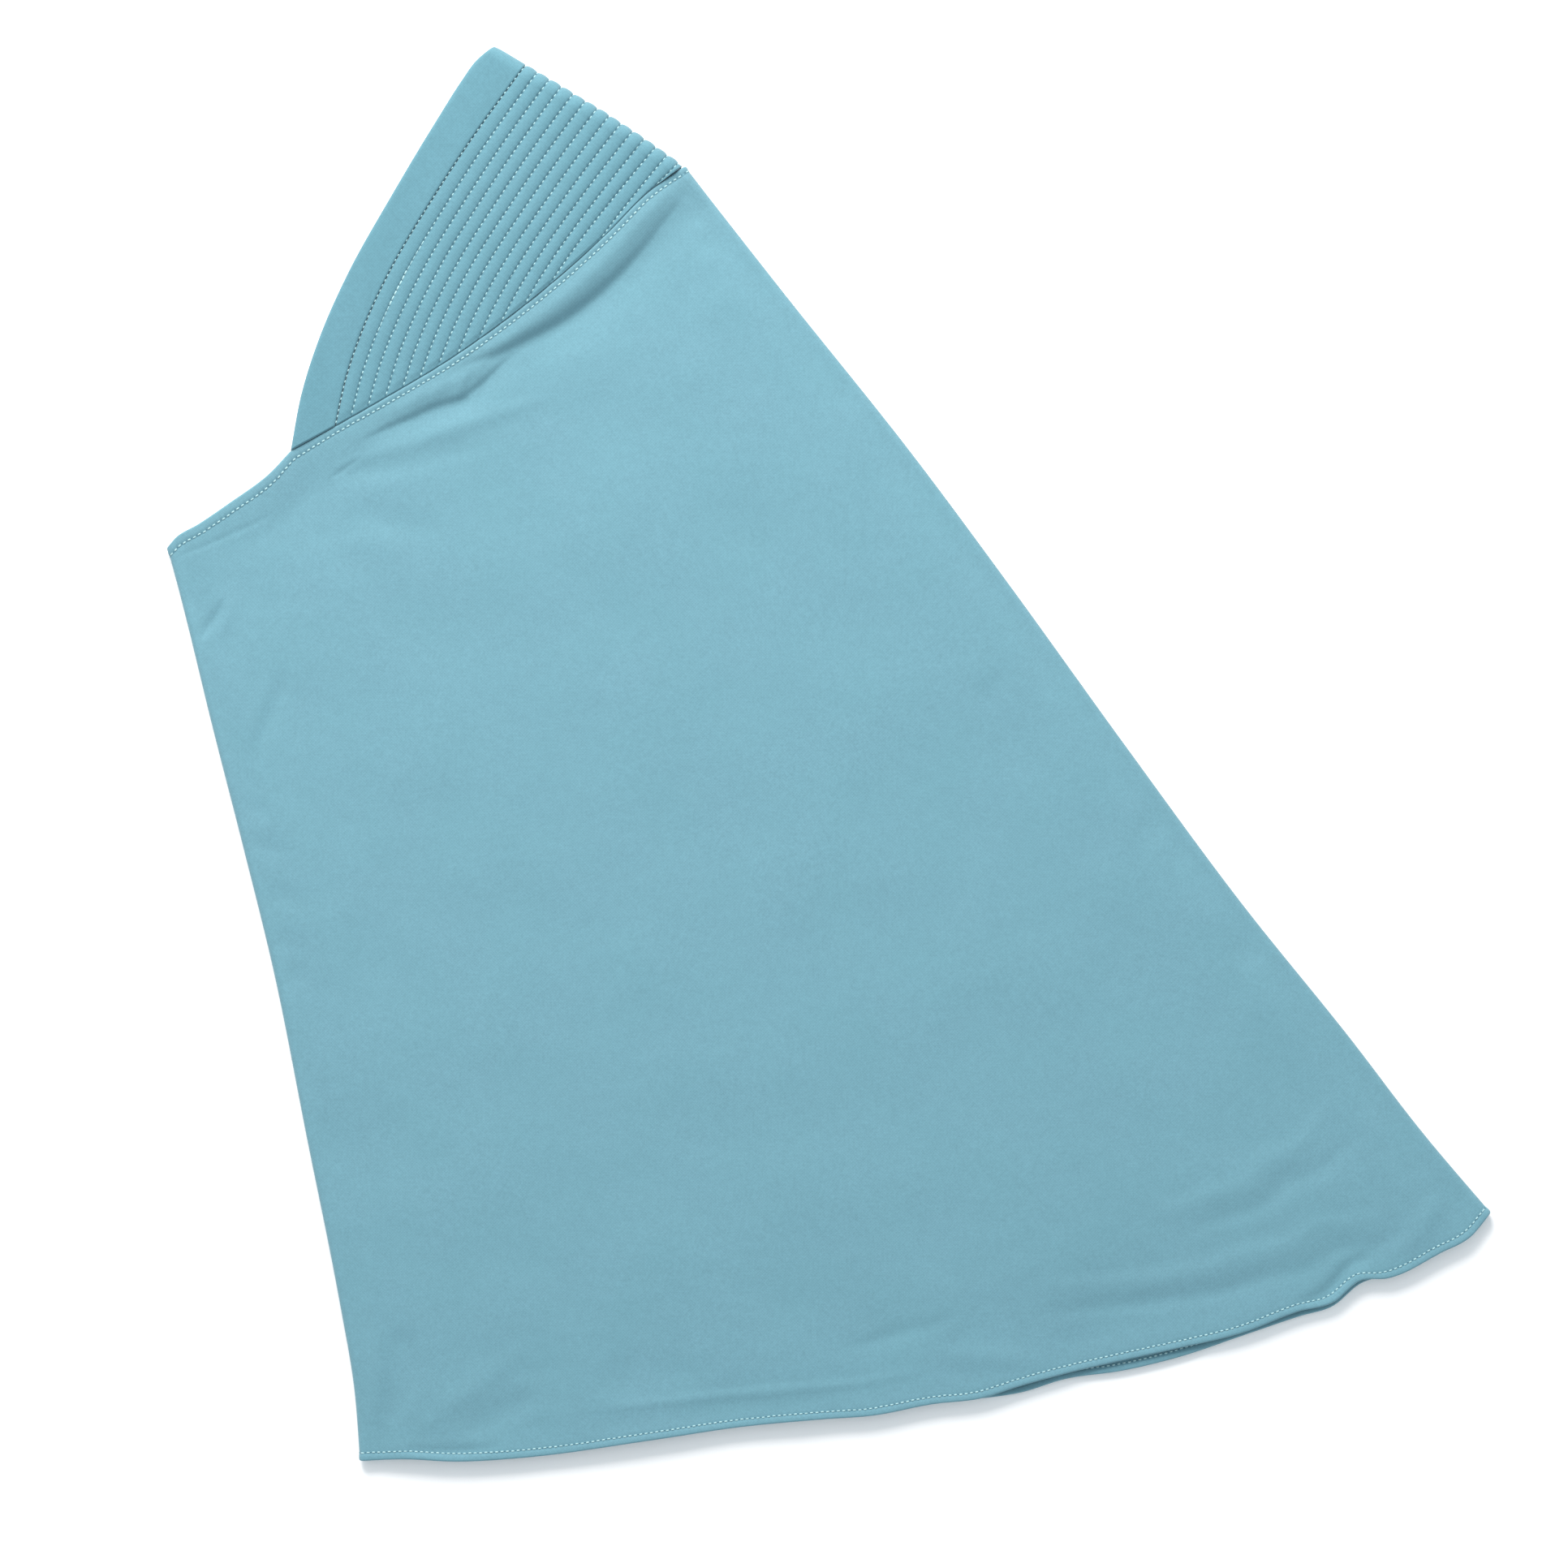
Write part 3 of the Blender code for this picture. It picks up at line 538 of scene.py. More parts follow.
def make_cape():
    """The cape's tube of cloth, between the stitching of its top edge and of its hem."""
    rows = cape_rows()
    middle = tube_ring(shifted(neck_stitched, -TUCKED_IN), shifted(hem_stitched, TUCKED_IN), rows,
                       near_dense(UPPER_RUN, True, True, 1.4), near_dense(LOWER_RUN, True, True, 1.4))
    travel = np.linalg.norm(np.diff(middle, axis=0), axis=-1)
    down = np.concatenate([np.zeros((1, middle.shape[1])), np.cumsum(travel, axis=0)])
    left = down[-1] - down
    half = CLOTH_WALL / 2 * rounded(down, CLOTH_WALL / 2) * rounded(left, CLOTH_WALL / 2)
    girth = np.arange(middle.shape[1] + 1) / middle.shape[1]
    uv = np.stack(np.broadcast_arrays(girth[None, :], rows[:, None]), axis=-1)
    return cloth_skin("cape_cloth", middle, half, uv, ring=True)


def edge_run(middle):
    """Distance travelled round each ring, from its first point back to it."""
    closed = np.concatenate([middle, middle[:, :1]], axis=1)
    travel = np.linalg.norm(np.diff(closed, axis=1), axis=-1)
    return np.concatenate([np.zeros((len(middle), 1)), np.cumsum(travel, axis=1)], axis=1)


def stitched_ring(distance, columns):
    """The ring of the tube along a stitched row: its points, outward normals and distance travelled."""
    rows = tube_ring(shifted(distance, -0.2 * MM), shifted(distance, 0.2 * MM), [0.0, 0.5, 1.0],
                     *edge_columns(columns))
    normals, _ = surface_normals(rows, ring=True)
    return rows[1], normals[1], edge_run(rows)[1]


def make_edge(name, start, end, distance, columns, free_row):
    """A turned edge of doubled cloth: a flattened roll, round at its free edge and held down along its
    stitching. free_row is 0 where the free edge comes first, and -1 where it comes last. The UVs are the
    distance along the stitching and the distance from it."""
    rows = np.array(EDGE_ROWS)
    if free_row == -1:
        rows = 1 - rows[::-1]
    middle = tube_ring(start, end, rows, *edge_columns(columns))
    travel = np.linalg.norm(np.diff(middle, axis=0), axis=-1)
    down = np.concatenate([np.zeros((1, middle.shape[1])), np.cumsum(travel, axis=0)])
    from_free = down if free_row == 0 else down[-1] - down
    path, _, run = stitched_ring(distance, columns)
    lane = middle[-1] - middle[0]
    lane /= np.linalg.norm(lane, axis=-1, keepdims=True)
    side = ((middle - path[None]) * lane[None]).sum(axis=-1)
    held = HELD_DOWN * np.exp(-(side / (1.0 * MM)) ** 2)
    past = PAST_DOWN * ease((down[-1] - from_free - TURNED_PAST) / (0.5 * MM))
    half = (HEM_WALL / 2 * (1 - np.maximum(held, past)) * rounded(from_free, 0.9 * MM)
            * rounded(down[-1] - from_free, 0.35 * MM))
    side = np.concatenate([side, side[:, :1]], axis=1)
    uv = np.stack(np.broadcast_arrays(run[None, :], side), axis=-1)
    return cloth_skin(name, middle, half, uv, ring=True)


def make_hems():
    """The turned edge at the seam and the chin, and the turned hem at the bottom."""
    neck = make_edge("neck_turning", lambda across, column: np.zeros_like(column),
                     shifted(neck_stitched, TURNED_PAST), neck_stitched, NECK_COLUMNS, 0)
    bottom = make_edge("bottom_turning", shifted(hem_stitched, -TURNED_PAST),
                       lambda across, column: column, hem_stitched, HEM_COLUMNS, -1)
    return neck, bottom


def visor_plan(row, share):
    """Lines of the visor from the crown fold to the seam. Row 0 is the face edge, 1 is the first stitch
    row, and the lines between and beyond follow the same family of bowed curves."""
    row, share = np.broadcast_arrays(np.asarray(row, dtype=float), np.asarray(share, dtype=float))
    before = np.clip(row, 0.0, 1.0)
    past = np.clip(row - QUILT_ROWS, 0.0, 1.0)
    quilt_share = np.clip((row - 1) / (QUILT_ROWS - 1), 0.0, 1.0)
    crown_place = (before * FACE_BAND + quilt_share * (QUILT_ROWS - 1) * QUILT_PITCH
                   + past * (BACK_TAIL - PIECE_GAP))
    seam_share = (1 + before * (smooth_row(ROW_TABLE, quilt_share, 1) - 1)
                  + past * (BACK_END_SHARE - ROW_TABLE[-1][1]))
    bow = FACE_EDGE_BOW + before * (smooth_row(ROW_TABLE, quilt_share, 2) - FACE_EDGE_BOW)
    start = bowed_edge(CROWN_TIP, BACK_TOP, CROWN_BOW, crown_place / CROWN_FOLD)
    along = seam_point(seam_share) - start
    left = np.stack([-along[..., 1], along[..., 0]], axis=-1)
    tip = np.clip(1 - 2 * row, 0.0, 1.0)
    side = smooth_row(ROW_SHAPE, share, 1) + tip * smooth_row(ROW_SHAPE, share, 2)
    return start + share[..., None] * along - (bow * side)[..., None] * left


def visor_surface(row, place, depth_at_crown):
    """Middle surface of the visor at rows and at places along a column: 0 to 1 runs from the upper
    leaf's seam edge to the crown fold's start, 1 to 2 round the fold, 2 to 3 down the lower leaf.
    Gives the points, the distance to the nearer seam edge and the distance from the crown's top."""
    row, place = np.broadcast_arrays(np.asarray(row, dtype=float), place)
    length = np.linalg.norm(visor_plan(row, 1.0) - visor_plan(row, 0.0), axis=-1)
    inset = depth_at_crown / 2
    reach = inset + LEAF_BEND
    turn = np.clip(place - 1, 0.0, 1.0) * math.pi
    leaf = np.where(place < 1.5, 1 - place, place - 2)
    on_fold = (place > 1) & (place < 2)
    distance = np.where(on_fold, inset + LEAF_BEND * (1 - np.sin(turn)),
                        reach + np.clip(leaf, 0.0, 1.0) * (length - reach))
    height = (UPPER_LEAF + LOWER_LEAF) / 2 + LEAF_BEND * np.cos(turn)
    plan = visor_plan(row, distance / length)
    arc = LEAF_BEND * math.pi / 2
    travel = np.where(on_fold, arc * (turn - math.pi / 2) / (math.pi / 2),
                      np.where(place < 1.5, -arc - (distance - reach), arc + (distance - reach)))
    return np.concatenate([plan, height[..., None]], axis=-1), length - distance, travel


def column_places(upper, fold, lower):
    """Places along the visor's columns: close together at both seam edges."""
    return np.concatenate([1 - near_dense(upper, False, True, 1.7)[::-1], np.linspace(1.0, 2.0, fold)[1:-1],
                           2 + near_dense(lower, False, True, 1.7)])


# The face band is a little wider over most of its length than at the crown
BAND_WIDENS = 1.15
RIB_STEPS = 11


def make_visor():
    """The plain face band and the ribbed peak, which meet at the first stitch row. A rib's fullness is
    the sine of its share across to a low power, so the stitched grooves stay narrow."""
    place = column_places(214, 16, 82)[None, :]

    band_share = np.array([0.0, 0.006, 0.02, 0.045, 0.08, 0.13, 0.20, 0.29, 0.39, 0.50, 0.61, 0.71, 0.80,
                           0.87, 0.92, 0.955, 0.98, 0.994, 1.0])[:, None]
    middle, to_seam, travel = visor_surface(band_share, place, BAND_PADDING)
    across = band_share * FACE_BAND * BAND_WIDENS
    inside = (1 - band_share) * FACE_BAND * BAND_WIDENS
    full = BAND_PADDING / 2 * (0.78 + 0.22 * rounded(across, 5 * MM) * rounded(inside, 6 * MM))
    full = full + 0.10 * MM * np.sin(travel / (17 * MM) + 6 * band_share) * rounded(inside, 6 * MM)
    half = full * rounded(across, 1.5 * MM) * rounded(inside, 1.1 * MM) * rounded(to_seam, 1.1 * MM)
    uv = np.stack(np.broadcast_arrays(travel, band_share), axis=-1)
    band = cloth_skin("face_band_pad", middle, half, uv)

    rib_share = np.linspace(0.0, 1.0, RIB_STEPS + 1)[:-1]
    rib_share = rib_share - 0.35 * np.sin(2 * math.pi * rib_share) / (2 * math.pi)
    rows = np.concatenate([(np.arange(1, QUILT_ROWS)[:, None] + rib_share[None, :]).ravel(),
                           QUILT_ROWS + np.array([0.0, 0.12, 0.35, 0.65, 0.88, 1.0])])[:, None]
    middle, to_seam, travel = visor_surface(rows, place, RIB_PADDING)
    across = np.where(rows <= QUILT_ROWS, rows - np.floor(rows), 0.0)
    plump = np.abs(np.sin(math.pi * across)) ** 0.45
    rib = np.floor(rows)
    lumps = np.sin(travel / (9 * MM) + 2.1 * rib) + np.sin(travel / (5.3 * MM) + 4.7 * rib)
    plump = plump * (1 + 0.04 * lumps)
    flowing = ease(1 - to_seam / (6 * MM))
    depth = STITCHED_PADDING + (RIB_PADDING - STITCHED_PADDING) * plump * (0.42 + 0.58 * flowing)
    tail = np.where(rows > QUILT_ROWS, STITCHED_PADDING * 1.25, 0.0)
    depth = np.maximum(depth, tail)
    first = (rows - 1) * QUILT_PITCH
    last = (QUILT_ROWS + 1 - rows) * BACK_TAIL
    half = (depth / 2 * rounded(first, 0.5 * MM) * rounded(np.clip(last, 0, 1), 0.5 * MM)
            * rounded(to_seam, 1.1 * MM))
    uv = np.stack(np.broadcast_arrays(travel, rows), axis=-1)
    peak = cloth_skin("quilted_peak_pad", middle, half, uv)
    return band, peak


STITCH_SIDES = 6
# Rings of a stitch: share along it, radius and height above the cloth in thread radii
STITCH_RINGS = [(-0.5, 0.34, -0.75), (-0.38, 0.90, -0.12), (0.0, 1.0, 0.15), (0.38, 0.90, -0.12),
                (0.5, 0.34, -0.75)]


def stitch_mesh(name, runs):
    """All the stitches of some rows as one mesh. A run holds their middles, directions, outward normals
    and thread radii. Each stitch is a short spindle of thread: rings of a few points whose radius and
    height above the cloth are a function of the share along it."""
    middles, directions, normals, thread = (np.concatenate([run[k] for run in runs]) for k in range(4))
    thread = thread[:, None]
    along = directions / np.linalg.norm(directions, axis=1, keepdims=True)
    sideways = np.cross(normals, along)
    sideways /= np.linalg.norm(sideways, axis=1, keepdims=True)
    upward = np.cross(along, sideways)
    angle = np.linspace(0.0, 2 * math.pi, STITCH_SIDES, endpoint=False)
    angle = angle[None, :, None]
    circle = sideways[:, None] * np.cos(angle) + upward[:, None] * np.sin(angle)
    rings = []
    for share, swell, lift in STITCH_RINGS:
        centre = middles + share * directions + lift * thread * upward
        rings.append(centre[:, None] + swell * thread[:, None] * circle)
    points = np.stack(rings, axis=1)
    count = len(STITCH_RINGS)
    grid = np.arange(count * STITCH_SIDES).reshape(count, STITCH_SIDES)
    sides = quads(np.concatenate([grid, grid[:, :1]], axis=1))
    first, last = grid[0], grid[-1]
    caps = np.array([[first[0], first[3], first[2], first[1]], [first[0], first[5], first[4], first[3]],
                     [last[0], last[1], last[2], last[3]], [last[0], last[3], last[4], last[5]]])
    one = np.concatenate([sides, caps])
    step = np.arange(len(middles))[:, None, None] * count * STITCH_SIDES
    return mesh_object(name, points.reshape(-1, 3), (one[None] + step).reshape(-1, 4))


def stitch_run(path, normals, travel, pitch, filled, thread):
    """Stitches halfway between the needle holes at whole pitches of the travel: their middles,
    directions, normals and radii. filled and thread are numbers, or functions of the travel."""
    first = math.ceil((travel[0] + 0.3 * pitch) / pitch - 0.5)
    last = math.floor((travel[-1] - 0.3 * pitch) / pitch - 0.5)
    middle = (np.arange(first, last + 1) + 0.5) * pitch
    filled = filled(middle) if callable(filled) else np.full(len(middle), filled)
    thread = thread(middle) if callable(thread) else np.full(len(middle), thread)

    def at(distance, values):
        return np.stack([np.interp(distance, travel, values[:, k]) for k in range(3)], axis=1)

    start = at(middle - filled * pitch / 2, path)
    end = at(middle + filled * pitch / 2, path)
    up = at(middle, normals)
    up /= np.linalg.norm(up, axis=1, keepdims=True)
    side = np.cross(up, end - start)
    side /= np.linalg.norm(side, axis=1, keepdims=True)
    slant = THREAD_WANDER * DRAWS.standard_normal((len(middle), 1)) * side
    shift = THREAD_WANDER * DRAWS.standard_normal((len(middle), 1)) * side
    thread = thread * (1 + 0.08 * DRAWS.standard_normal(len(middle)))
    return (start + end) / 2 + shift, end - start + slant, up, thread


QUILT_THREAD = 0.34 * MM
FIRST_ROW_THREAD = 0.27 * MM
LONG_THREAD = 0.24 * MM
BACK_TACK_SWELL = 0.26 * MM
EDGE_THREAD = 0.33 * MM
THREAD_WANDER = 0.07 * MM
# Share of the pitch that a stitch fills
QUILT_FILLED = 0.54
FIRST_ROW_FILLED = 0.46
LONG_FILLED = 0.97
EDGE_FILLED = 0.58
# Second quilted row: a stretch of nearly unbroken thread, and thicker back-tacks within it
LONG_STITCHES = (-152 * MM, -100 * MM)
BACK_TACKS = (-136 * MM, -117 * MM)


def within(travel, stretch, inside, outside):
    """One value where the travel lies in a stretch, and another outside it."""
    return np.where((travel > stretch[0]) & (travel < stretch[1]), inside, outside)


def quilt_stitches():
    """Rows of stitching along every groove of the visor, on the outside of both leaves."""
    runs = []
    place = column_places(230, 24, 120)[None, :]
    for row in range(1, QUILT_ROWS + 1):
        rows = np.array([row - 0.004, row, row + 0.004])[:, None]
        points, to_seam, travel = visor_surface(rows, place, RIB_PADDING)
        normals, _ = surface_normals(points, ring=False)
        kept = to_seam[1] > 1.0 * MM
        sunk = 0.10 * MM if row == 1 else 0.0
        path = points[1, kept] + normals[1, kept] * (STITCHED_PADDING / 2 + 0.06 * MM - sunk)
        filled, thread = QUILT_FILLED, QUILT_THREAD
        if row == 1:
            filled, thread = FIRST_ROW_FILLED, FIRST_ROW_THREAD
        if row == 2:
            filled = lambda middle: within(middle, LONG_STITCHES, LONG_FILLED, QUILT_FILLED)
            thread = lambda middle: (within(middle, LONG_STITCHES, LONG_THREAD, QUILT_THREAD)
                                     + within(middle, BACK_TACKS, BACK_TACK_SWELL, 0.0))
        runs.append(stitch_run(path, normals[1, kept], travel[1, kept], QUILT_STITCH, filled, thread))
    return stitch_mesh("quilt_stitching", runs)


def edge_stitches():
    """The topstitching of the seam, the chin edge and the bottom hem, right round the tube. The lower
    hem's is on its upper side too, where it shows below the upper one."""
    made = []
    for name, distance, columns, pitch in (("neck_stitching", neck_stitched, NECK_COLUMNS, SEAM_PITCH),
                                           ("hem_stitching", hem_stitched, HEM_COLUMNS, HEM_PITCH)):
        path, normals, run = stitched_ring(distance, columns)
        path = np.concatenate([path, path[:1]])
        normals = np.concatenate([normals, normals[:1]])
        lift = HEM_WALL / 2 * (1 - HELD_DOWN) + 0.10 * MM
        inner = slice(columns[0] + BEND_STEPS, columns[0] + BEND_STEPS + columns[1] - 1)
        runs = [stitch_run(path[part] + side * lift * normals[part], side * normals[part], run[part], pitch,
                           EDGE_FILLED, EDGE_THREAD) for part, side in ((slice(None), 1), (inner, -1))]
        made.append(stitch_mesh(name, runs))
    return made


# Materials

def new_group(name, inputs, outputs):
    """A shader node group with named sockets."""
    group = bpy.data.node_groups.new(name, "ShaderNodeTree")
    for title, kind, value in inputs:
        socket = group.interface.new_socket(name=title, in_out="INPUT", socket_type=kind)
        if value is not None:
            socket.default_value = value
    for title, kind in outputs:
        group.interface.new_socket(name=title, in_out="OUTPUT", socket_type=kind)
    return group, group.nodes.new("NodeGroupInput"), group.nodes.new("NodeGroupOutput")


def feed(tree, value, socket):
    """Link another socket to this one, or set its value."""
    if isinstance(value, bpy.types.NodeSocket):
        tree.links.new(value, socket)
    elif value is not None:
        socket.default_value = value


def mix_node(tree, factor, first, second):
    """Blend of two colours."""
    node = tree.nodes.new("ShaderNodeMix")
    node.data_type = "RGBA"
    for title, value in (("Factor", factor), ("A", first), ("B", second)):
        feed(tree, value, node.inputs[title])
    return node.outputs["Result"]


def group_node(tree, group, **given):
    """A group in a tree, with its inputs fed by sockets or values."""
    node = tree.nodes.new("ShaderNodeGroup")
    node.node_tree = group
    for title, value in given.items():
        feed(tree, value, node.inputs[title])
    return node.outputs


def math_node(tree, operation, first, second=None):
    """A Math node fed by sockets or numbers."""
    node = tree.nodes.new("ShaderNodeMath")
    node.operation = operation
    for socket, value in zip(node.inputs, (first, second)):
        feed(tree, value, socket)
    return node.outputs[0]


def times(tree, first, second):
    """Product of two sockets or numbers."""
    return math_node(tree, "MULTIPLY", first, second)


def plus(tree, first, second):
    """Sum of two sockets or numbers."""
    return math_node(tree, "ADD", first, second)


def noise_node(tree, vector, scale, detail=3.0, rough=0.5):
    """A noise texture on a vector."""
    node = tree.nodes.new("ShaderNodeTexNoise")
    tree.links.new(vector, node.inputs["Vector"])
    node.inputs["Scale"].default_value = scale
    node.inputs["Detail"].default_value = detail
    node.inputs["Roughness"].default_value = rough
    return node.outputs["Fac"]


def knit_group():
    """Fine jersey: two families of slanting bands that cross, broken up by noise."""
    group, given, made = new_group("Jersey knit", [("Vector", "NodeSocketVector", None)],
                                   [("Height", "NodeSocketFloat"), ("Tone", "NodeSocketFloat")])
    bands = []
    for turn in (43.0, -47.0):
        mapping = group.nodes.new("ShaderNodeMapping")
        mapping.inputs["Rotation"].default_value = (0.0, 0.0, math.radians(turn))
        group.links.new(given.outputs["Vector"], mapping.inputs["Vector"])
        wave = group.nodes.new("ShaderNodeTexWave")
        wave.wave_type = "BANDS"
        wave.bands_direction = "X"
        wave.inputs["Scale"].default_value = 310.0
        wave.inputs["Distortion"].default_value = 2.6
        wave.inputs["Detail"].default_value = 2.0
        wave.inputs["Detail Scale"].default_value = 0.8
        group.links.new(mapping.outputs["Vector"], wave.inputs["Vector"])
        bands.append(wave.outputs["Fac"])
    crossed = times(group, *bands)
    grain = noise_node(group, given.outputs["Vector"], 850.0, 2.0, 0.6)
    group.links.new(plus(group, crossed, times(group, grain, 0.6)), made.inputs["Height"])
    patches = noise_node(group, given.outputs["Vector"], 210.0, 3.0, 0.6)
    tone = plus(group, times(group, crossed, 0.25), times(group, grain, 1.1))
    tone = plus(group, tone, times(group, patches, 0.5))
    group.links.new(math_node(group, "SUBTRACT", tone, 0.3625), made.inputs["Tone"])
    return group


def tone_group():
    """Cloth colour: deep and light tones mixed by the knit, and a slow drift towards green or blue."""
    group, given, made = new_group(
        "Dyed cloth", [("Vector", "NodeSocketVector", None), ("Tone", "NodeSocketFloat", 0.5),
                       ("Deep", "NodeSocketColor", (0.1, 0.3, 0.4, 1.0)),
                       ("Light", "NodeSocketColor", (0.2, 0.4, 0.5, 1.0)),
                       ("Drift", "NodeSocketColor", (0.15, 0.38, 0.42, 1.0))],
        [("Color", "NodeSocketColor"), ("Roughness", "NodeSocketFloat")])
    blend = mix_node(group, *(given.outputs[title] for title in ("Tone", "Deep", "Light")))
    slow = noise_node(group, given.outputs["Vector"], 26.0, 4.0, 0.6)
    drift = mix_node(group, times(group, slow, 0.42), blend, given.outputs["Drift"])
    group.links.new(drift, made.inputs["Color"])
    group.links.new(plus(group, times(group, slow, 0.14), 0.74), made.inputs["Roughness"])
    return group


def hole_shade_group():
    """Painted shade in the needle holes along a stitched row: dark dots at even steps along the row, only
    close to it, and the pucker around them for the bump.
    """
    group, given, made = new_group(
        "Needle hole shade and pucker", [("Along", "NodeSocketFloat", 0.0), ("Across", "NodeSocketFloat", 0.0),
                         ("Pitch", "NodeSocketFloat", 0.0028), ("Reach", "NodeSocketFloat", 0.0005)],
        [("Mask", "NodeSocketFloat"), ("Pucker", "NodeSocketFloat")])
    step = math_node(group, "DIVIDE", given.outputs["Along"], given.outputs["Pitch"])
    phase = math_node(group, "COSINE", times(group, step, 2 * math.pi))
    beat = plus(group, times(group, phase, 0.5), 0.5)
    near = math_node(group, "DIVIDE", given.outputs["Across"], given.outputs["Reach"])
    wide = math_node(group, "DIVIDE", near, 3.4)
    bell, wide_bell = (math_node(group, "EXPONENT", times(group, times(group, share, share), -1.0))
                       for share in (near, wide))
    group.links.new(times(group, math_node(group, "POWER", beat, 1.8), bell), made.inputs["Mask"])
    group.links.new(times(group, beat, wide_bell), made.inputs["Pucker"])
    return group


KNIT = knit_group()
TONE = tone_group()
HOLE_SHADE_GROUP = hole_shade_group()

CAPE_DEEP = (0.098, 0.213, 0.262, 1.0)
CAPE_LIGHT = (0.142, 0.307, 0.376, 1.0)
CAPE_DRIFT = (0.112, 0.270, 0.312, 1.0)
# The visor's colours are the cape's jersey made darker: painted shade, set so that the padded visor, which
# lies nearest the key, is not lit up above the cape
SHADED_VISOR_DEEP = (0.073, 0.178, 0.222, 1.0)
SHADED_VISOR_LIGHT = (0.106, 0.256, 0.318, 1.0)
SHADED_VISOR_DRIFT = (0.088, 0.224, 0.268, 1.0)
THREAD = (0.36, 0.58, 0.60, 1.0)
# Dark teal painted into the needle holes: painted shade, not a colour of the cloth
NEEDLE_HOLE_SHADE = (0.035, 0.110, 0.150, 1.0)


def cloth_material(name, deep, light, drift, bump=0.32, holes=None):
    """Jersey: dyed cloth with the knit as bump. holes gives the pitch and the reach of the needle holes,
    whose shade is painted into the colour and whose pucker is a bump, and how to turn the UV's second value
    into a distance from the stitched row, if it isn't one."""
    material = bpy.data.materials.new(name)
    material.use_nodes = True
    tree = material.node_tree
    shader = tree.nodes["Principled BSDF"]
    shader.inputs["Sheen Weight"].default_value = 0.22
    shader.inputs["Sheen Roughness"].default_value = 0.45
    shader.inputs["Specular IOR Level"].default_value = 0.35
    where = tree.nodes.new("ShaderNodeTexCoord")
    knit = group_node(tree, KNIT, Vector=where.outputs["Object"])
    tone = group_node(tree, TONE, Vector=where.outputs["Object"], Tone=knit["Tone"], Deep=deep, Light=light,
                      Drift=drift)
    colour = tone["Color"]
    height = times(tree, knit["Height"], 0.08 * MM)
    if holes:
        pitch, reach, across_of = holes
        split = tree.nodes.new("ShaderNodeSeparateXYZ")
        tree.links.new(where.outputs["UV"], split.inputs[0])
        across = across_of(tree, split.outputs["Y"]) if across_of else split.outputs["Y"]
        hole_shade = group_node(tree, HOLE_SHADE_GROUP, Along=split.outputs["X"], Across=across, Pitch=pitch, Reach=reach)
        # Painted shade in the needle holes: the cloth's colour pulled towards dark teal along each stitched
        # row
        colour = mix_node(tree, times(tree, hole_shade["Mask"], 0.85), colour, NEEDLE_HOLE_SHADE)
        height = math_node(tree, "SUBTRACT", height, times(tree, hole_shade["Pucker"], 0.3 * MM))
    tree.links.new(colour, shader.inputs["Base Color"])
    tree.links.new(tone["Roughness"], shader.inputs["Roughness"])
    relief = tree.nodes.new("ShaderNodeBump")
    relief.inputs["Strength"].default_value = bump
    relief.inputs["Distance"].default_value = 1.0
    tree.links.new(height, relief.inputs["Height"])
    tree.links.new(relief.outputs["Normal"], shader.inputs["Normal"])
    return material


def thread_material():
    """Pale sewing thread, with a slight twist along it."""
    material = bpy.data.materials.new("Pale thread")
    material.use_nodes = True
    tree = material.node_tree
    shader = tree.nodes["Principled BSDF"]
    shader.inputs["Sheen Weight"].default_value = 0.3
    where = tree.nodes.new("ShaderNodeTexCoord")
    fleck = noise_node(tree, where.outputs["Object"], 700.0, 2.0, 0.6)
    deep = tuple(0.82 * c for c in THREAD[:3]) + (1.0,)
    tree.links.new(mix_node(tree, fleck, deep, THREAD), shader.inputs["Base Color"])
    shader.inputs["Roughness"].default_value = 0.6
    return material


def dress(piece, material, nodes=()):
    """Give a piece its material and its body, and hide the model's nodes that it stands for."""
    piece.data.materials.clear()
    piece.data.materials.append(material)
    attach(piece, "root")
    if nodes:
        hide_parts(*nodes)


def row_distance(tree, row):
    """Distance from the nearest whole row number, as a length at the crown's pitch."""
    whole = math_node(tree, "ROUND", row)
    return times(tree, math_node(tree, "SUBTRACT", row, whole), QUILT_PITCH)


def make_veil():
    """Every piece of the veil, dressed."""
    jersey = cloth_material("Blue jersey", CAPE_DEEP, CAPE_LIGHT, CAPE_DRIFT)
    hem = cloth_material("Blue jersey hem", CAPE_DEEP, CAPE_LIGHT, CAPE_DRIFT,
                         holes=(HEM_PITCH, 0.42 * MM, None))
    neck_hem = cloth_material("Blue jersey neck hem", CAPE_DEEP, CAPE_LIGHT, CAPE_DRIFT,
                              holes=(SEAM_PITCH, 0.42 * MM, None))
    quilt = cloth_material("Quilted blue jersey", SHADED_VISOR_DEEP, SHADED_VISOR_LIGHT, SHADED_VISOR_DRIFT,
                           holes=(QUILT_STITCH, 0.55 * MM, row_distance))
    plain = cloth_material("Padded blue jersey", SHADED_VISOR_DEEP, SHADED_VISOR_LIGHT, SHADED_VISOR_DRIFT)
    thread = thread_material()
    cape = make_cape()
    neck, bottom = make_hems()
    band, peak = make_visor()
    quilting = quilt_stitches()
    neck_sewing, hem_sewing = edge_stitches()
    dress(cape, jersey, ["cape"])
    dress(neck, neck_hem, ["neck_hem"])
    dress(bottom, hem, ["bottom_hem"])
    dress(band, plain, ["face_band"])
    dress(peak, quilt, ["quilted_peak"])
    dress(quilting, thread)
    dress(neck_sewing, thread)
    dress(hem_sewing, thread)


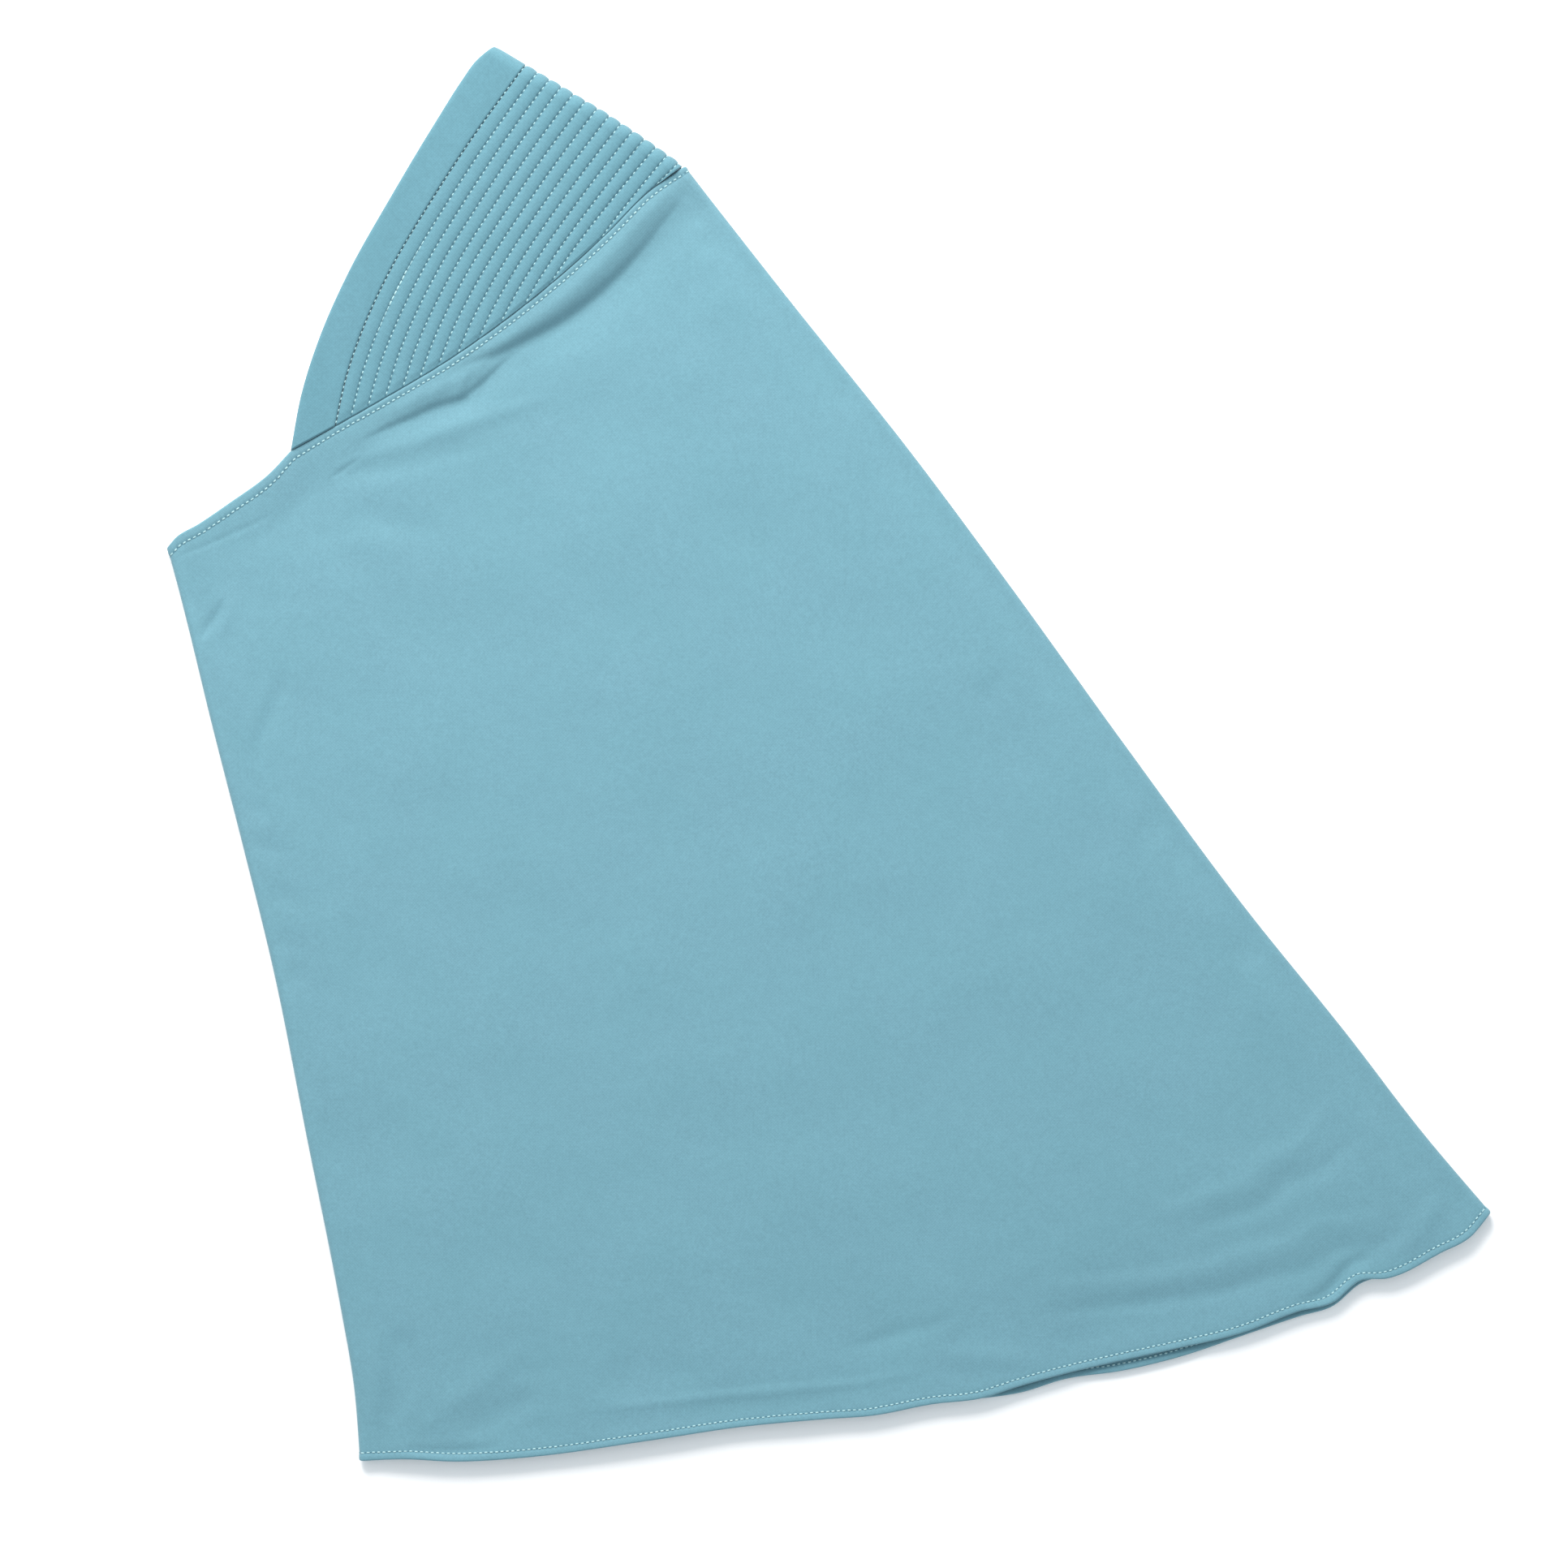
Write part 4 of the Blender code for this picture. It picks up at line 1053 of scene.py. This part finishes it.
def make_floor():
    """A wide white floor under the veil."""
    mesh = bpy.data.meshes.new("white_floor")
    side = 8.0
    corners = [(-side, -side, 0), (side, -side, 0), (side, side, 0), (-side, side, 0)]
    mesh.from_pydata(corners, [], [(0, 1, 2, 3)])
    floor = bpy.data.objects.new("white_floor", mesh)
    floor.location.z = -0.1 * MM
    bpy.context.scene.collection.objects.link(floor)
    material = bpy.data.materials.new("White floor")
    material.use_nodes = True
    shader = material.node_tree.nodes["Principled BSDF"]
    shader.inputs["Base Color"].default_value = (0.93, 0.93, 0.93, 1.0)
    shader.inputs["Roughness"].default_value = 0.9
    mesh.materials.append(material)


def aimed_light(name, place, size, power, colour):
    """A square soft light at a place, turned towards the origin."""
    data = bpy.data.lights.new(name, "AREA")
    data.shape = "SQUARE"
    data.size = size
    data.energy = power
    data.color = colour
    light = bpy.data.objects.new(name, data)
    light.location = place
    light.rotation_mode = "QUATERNION"
    light.rotation_quaternion = (-Vector(place)).to_track_quat("-Z", "Y")
    bpy.context.scene.collection.objects.link(light)


def make_light():
    """A soft key from beyond the crown, an even white sky, and a plain view transform."""
    world = bpy.data.worlds.new("Pale studio")
    world.use_nodes = True
    sky = world.node_tree.nodes["Background"]
    sky.inputs["Color"].default_value = (0.93, 1.0, 1.05, 1.0)
    sky.inputs["Strength"].default_value = 0.85
    bpy.context.scene.world = world
    aimed_light("key", (-0.50, 1.70, 1.35), 1.3, 76.0, (1.06, 1.0, 0.96))
    bpy.context.scene.view_settings.view_transform = "Standard"
    bpy.context.scene.view_settings.look = "None"


# The photo's frame: its middle on the floor plane, and its width
VIEW_MIDDLE = (-0.0221, -0.0149)
VIEW_WIDTH = 0.7728
VIEW_LENS = 150.0


def make_camera():
    """Straight down from above, far enough back that the frame's width is filled."""
    data = bpy.data.cameras.new("from_above")
    data.lens = VIEW_LENS
    camera = bpy.data.objects.new("from_above", data)
    distance = VIEW_WIDTH * VIEW_LENS / data.sensor_width
    camera.location = (VIEW_MIDDLE[0], VIEW_MIDDLE[1], distance + 6 * MM)
    data.clip_end = 60.0
    bpy.context.scene.collection.objects.link(camera)
    bpy.context.scene.camera = camera


make_camera()
make_light()
make_floor()
make_veil()
